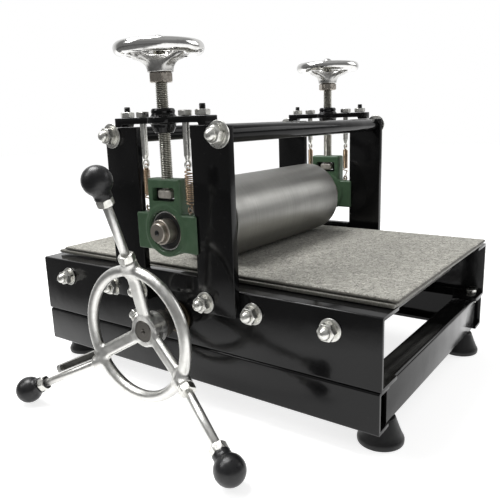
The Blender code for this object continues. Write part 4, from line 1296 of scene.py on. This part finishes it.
def make_star_wheel():
    axis = at(0, 0, SHAFT_Z)
    ring_middle = at(0, STAR_Y, SHAFT_Z)
    hub_middle = at(0, (HUB_FRONT + HUB_BACK) / 2, SHAFT_Z)
    hub_half = (HUB_BACK - HUB_FRONT) / 2
    bars = []
    bosses = []
    for number, angle in enumerate(ARM_ANGLES, 1):
        radial = outwards(angle)
        start = at(0, HUB_FRONT + 0.0058, SHAFT_Z) + radial * 0.010
        end = ring_middle + radial * STAR_RADIUS
        along = (end - start).normalized()
        side = Vector((0, 1, 0)).cross(along).normalized()
        turn = Matrix((side, along.cross(side), along)).transposed().to_4x4()
        bars.append((Matrix.Translation((start + end) / 2) @ turn,
                     (0.0082, 0.0048, (end - start).length / 2)))
        place, _ = arm_matrix(number)
        bosses.append((place @ Vector((0, 0, BOSS_LENGTH / 2)), place.to_3x3() @ Vector((0, 0, 1))))
    clamp = outwards(CLAMP_ANGLE)

    def field(points):
        total = ring_field(points, ring_middle, (0, 1, 0), STAR_RADIUS, STAR_TUBE, STAR_TUBE)
        for middle, direction in bosses:
            boss = disc_field(points, middle, direction, 0.0094, BOSS_LENGTH / 2, 0.0012)
            total = smooth_min(total, boss, 0.005)
        for matrix, half in bars:
            total = smooth_min(total, bar_field(points, matrix, half, 0.0046), 0.006)
        hub = disc_field(points, hub_middle, (0, 1, 0), 0.0193, hub_half, 0.0016)
        lug = disc_field(points, hub_middle + clamp * 0.0110, clamp, 0.0074, 0.0113, 0.0010)
        return smooth_min(total, smooth_min(hub, lug, 0.003), 0.004)

    ring_seed = lathe([(STAR_RADIUS + STAR_TUBE * math.cos(a), STAR_TUBE * math.sin(a))
                       for a in circle(20)], 120, closed=True)
    seeds = [(ring_seed, placed(ring_middle, (0, 1, 0))),
             (rod(0.0193, 2 * hub_half, 0, 64), placed(at(0, HUB_FRONT, SHAFT_Z), (0, 1, 0))),
             (rod(0.0074, 0.0223, 0, 32), placed(hub_middle, clamp))]
    seeds += [(rounded_box([2 * size for size in half], 0.002), matrix) for matrix, half in bars]
    seeds += [(rod(0.0094, BOSS_LENGTH, 0, 32), arm_matrix(number)[0]) for number in (1, 2, 3)]
    wheel = sculpt(seeds, field, 0.0010)
    bore = (rod(0.0130, 0.06, 0, 96), placed(at(0, HUB_FRONT - 0.02, SHAFT_Z), (0, 1, 0)))
    shapes = [(cut(wheel, [bore]), Matrix(), STAR_CHROME)]
    washer = lathe(fillet([(0.0040, 0, 0), (0.0076, 0, 0.0003), (0.0076, 0.0013, 0.0003),
                           (0.0040, 0.0013, 0)], 2), 40, closed=True)
    head_base = hub_middle + clamp * 0.0224
    shapes.append((washer, placed(head_base, clamp), ZINC))
    shapes.append((hexagon(0.0118, 0.0066), placed(head_base + clamp * 0.0014, clamp), ZINC))
    shapes += trough_shapes()
    add("star_wheel", shapes, "drive_shaft", axis, "star_wheel", 45)


def trough_shapes():
    """Open bracket beside one arm's rod, with a floor and a rounded outer end."""
    place, _ = arm_matrix(TROUGH_ARM)
    half = 0.0048
    depth = 0.0085
    wall = 0.0012
    length = 0.060
    beside = place @ Matrix.Translation((-0.0056 - half, -depth / 2, 0.006))
    lie = Matrix.Rotation(math.radians(90), 4, "X")
    outline = fillet([(-half, 0, 0.0003), (half, 0, 0.0003), (half, length, 0.0012),
                      (-half, length, 0.0036)], 6, closed=True)
    slot = fillet([(wall - half, 0.002, 0.0006), (half - wall, 0.002, 0.0006),
                   (half - wall, length - 0.0050, 0.0024), (wall - half, length - 0.0050, 0.0024)],
                  6, closed=True)
    walls = plate([outline, slot], depth - 0.0001, 0.0003)
    # The floor is far darker than the walls: painted shade inside the channel.
    floor = plate([outline], wall, 0.0003)
    walls_place = beside @ Matrix.Translation((0, depth / 2, 0)) @ lie
    floor_place = beside @ Matrix.Translation((0, wall / 2, 0)) @ lie
    return [(walls, walls_place, STAR_CHROME), (floor, floor_place, TROUGH_FLOOR_SHADE)]


def make_arm(number):
    place, length = arm_matrix(number)
    start = BOSS_LENGTH + GAP
    ball_start = length - KNOB_RADIUS - 0.0028
    height = 0.0085
    node = f"arm_rod_{number}"
    shapes = [(rod(0.005, ball_start - GAP - start, 0.0004), place @ Matrix.Translation((0, 0, start)),
               STAR_CHROME)]
    nuts = [ball_start - GAP - height]
    if number != TROUGH_ARM:
        nuts.append(start)
    for z in nuts:
        turn = Matrix.Rotation(rng.uniform(0, 1), 4, "Z")
        shapes.append((hexagon(0.0165, height), place @ Matrix.Translation((0, 0, z)) @ turn, ZINC))
    # A thin near-black disc on the inner face of the nut by the knob: painted shade on that face.
    shapes.append((rod(0.0076, 0.0006, 0.0002),
                   place @ Matrix.Translation((0, 0, nuts[0] - 0.0004)), OXIDE))
    add(node, shapes, "drive_shaft", place.translation, node, 45)
    neck = 0.0094
    r = KNOB_RADIUS - 0.0004
    seam = math.radians(-6)
    ball = [(0, length + r - 0.00003)]
    for degrees in range(84, -56, -4):
        angle = math.radians(degrees)
        reach = r - 0.00003 + (0.00022 if abs(angle - seam) < 0.02 else 0.0)
        if -0.13 < angle - seam < -0.02:
            reach -= 0.0001
        ball.append((reach * math.cos(angle), length + reach * math.sin(angle)))
    ball += [(neck, ball_start + 0.0024), (neck + 0.0003, ball_start + 0.0006),
             (neck, ball_start), (0, ball_start)]
    node = f"arm_knob_{number}"
    add(node, [(lathe(ball, 72), place, PLASTIC)], "drive_shaft", knob_centre(number), node,
        50)


# ---------------------------------------------------------------- the press
make_rails()
make_cross_members()
make_feet()
make_posts()
make_bridge_plates()
make_tie_bars()
make_rail_bolts()
make_support_rollers()
make_bushes()
make_board()
make_felt()
make_top_roller()
make_drive_roller()
make_collar()
make_star_wheel()
for arm_number in (1, 2, 3):
    make_arm(arm_number)
EVEN_COIL = (0.0034, ((17, 0.0300), (1, 0.0060)))
TIRED_COIL = (0.0040, ((1.5, 0.0060), (12, 0.0270), (1.5, 0.0060)))
for side_name, side in SIDES:
    make_housing(side_name, side)
    make_bearing(side_name, side)
    make_screw(side_name)
    make_handwheel(side_name)
    for end_name, end in ENDS:
        hanger = f"{side_name}_{end_name}_hanger_bolt"
        make_hanger_bolt(hanger, centre(hanger).x, side * END_Y)
        coil = TIRED_COIL if (side_name, end_name) == ("near", "right") else EVEN_COIL
        make_spring(f"{side_name}_{end_name}_spring", centre(hanger).x, side * END_Y, *coil)


# ---------------------------------------------------------------- stage, light and camera
def make_floor():
    """Plain white paper; only reflections and bounced light see it end in a dim room in front."""
    look = Look("floor_look", (0.60, 0.60, 0.597), 0.7, Specular_IOR_Level=0.0)
    parts = look.node("ShaderNodeVectorMath", Vector=look.place)
    parts.operation = "DOT_PRODUCT"
    parts.inputs[1].default_value = (-0.521, -0.853, 0)
    ahead = look.span(parts.outputs["Value"], 0.27, 0.50)
    nearness = look.node("ShaderNodeSeparateXYZ", Vector=look.place).outputs["Y"]
    both = look.node("ShaderNodeMath", Value=ahead)
    both.operation = "MULTIPLY"
    look.put(both.inputs[1], look.span(nearness, -0.10, -0.30))
    seen = look.node("ShaderNodeLightPath").outputs["Is Camera Ray"]
    dim = look.node("ShaderNodeMath", Value=both.outputs["Value"])
    dim.operation = "MULTIPLY"
    look.put(dim.inputs[1], look.span(seen, 0, 1, 1.0, 0.0))
    look.tint(dim.outputs["Value"], (0.10, 0.10, 0.10))
    look.shader.inputs["Emission Color"].default_value = (1, 1, 1, 1)
    glow = look.span(dim.outputs["Value"], 0, 1, 0.78, 0.05)
    look.put(look.shader.inputs["Emission Strength"], glow)
    bm = bmesh.new()
    bmesh.ops.create_grid(bm, x_segments=1, y_segments=1, size=6)
    floor = bpy.data.objects.new("floor", mesh_of(bm))
    floor.data.materials.append(look.material)
    floor.location.z = -0.0002
    bpy.context.scene.collection.objects.link(floor)


def softbox(name, place, aim, size, power):
    data = bpy.data.lights.new(name, "AREA")
    data.shape = "RECTANGLE"
    data.size, data.size_y = size
    data.energy = power
    lamp = bpy.data.objects.new(name, data)
    bpy.context.scene.collection.objects.link(lamp)
    lamp.location = place
    lamp.rotation_euler = (Vector(aim) - Vector(place)).to_track_quat("-Z", "Y").to_euler()
    lamp.visible_camera = False


def make_room():
    """A white backdrop and a light ceiling in a dim room; the backdrop looks white all round."""
    world = bpy.data.worlds.new("studio")
    bpy.context.scene.world = world
    world.use_nodes = True
    tree = world.node_tree
    background = tree.nodes["Background"]
    direction = tree.nodes.new("ShaderNodeTexCoord").outputs["Generated"]

    def facing(vector, start, end, low, high):
        dot = tree.nodes.new("ShaderNodeVectorMath")
        dot.operation = "DOT_PRODUCT"
        tree.links.new(direction, dot.inputs[0])
        dot.inputs[1].default_value = vector
        ramp = tree.nodes.new("ShaderNodeMapRange")
        ramp.interpolation_type = "SMOOTHSTEP"
        tree.links.new(dot.outputs["Value"], ramp.inputs["Value"])
        for name, value in (("From Min", start), ("From Max", end), ("To Min", low), ("To Max", high)):
            ramp.inputs[name].default_value = value
        return ramp.outputs["Result"]

    def brightest(first, second):
        made = tree.nodes.new("ShaderNodeMath")
        made.operation = "MAXIMUM"
        tree.links.new(first, made.inputs[0])
        tree.links.new(second, made.inputs[1])
        return made.outputs["Value"]

    back = facing((-0.589, 0.808, 0.0), 0.35, 0.80, 0.20, 0.80)
    ceiling = facing((0, 0, 1), 0.45, 0.90, 0.20, 0.42)
    seen = tree.nodes.new("ShaderNodeLightPath").outputs["Is Camera Ray"]
    tree.links.new(brightest(brightest(back, ceiling), seen), background.inputs["Strength"])
    background.inputs["Color"].default_value = (1, 1, 1, 1)


def make_light():
    target = (0, 0, 0.15)
    softbox("top_light", (-0.6, -0.2, 1.7), target, (0.8, 0.9), 30)
    softbox("left_light", (-1.3, -1.5, 1.9), target, (0.7, 1.2), 14)
    softbox("back_light", (1.6, 2.0, 1.5), target, (1.6, 1.4), 16)


CAMERA_PLACE = (0.4644, -0.6741, 0.3417)
CAMERA_AZIMUTH = 36.09
CAMERA_ELEVATION = 12.78
CAMERA_ROLL = -1.856


def make_camera():
    data = bpy.data.cameras.new("camera")
    data.lens = 41.14
    data.sensor_width = 36
    data.clip_start = 0.01
    camera = bpy.data.objects.new("camera", data)
    bpy.context.scene.collection.objects.link(camera)
    turn = Matrix.Rotation(math.radians(CAMERA_AZIMUTH), 4, "Z")
    tilt = Matrix.Rotation(math.radians(90 - CAMERA_ELEVATION), 4, "X")
    roll = Matrix.Rotation(math.radians(CAMERA_ROLL), 4, "Z")
    camera.matrix_world = Matrix.Translation(at(*CAMERA_PLACE)) @ turn @ tilt @ roll
    bpy.context.scene.camera = camera


make_floor()
make_room()
make_light()
make_camera()
bpy.context.scene.view_settings.view_transform = "Standard"
bpy.context.view_layer.update()
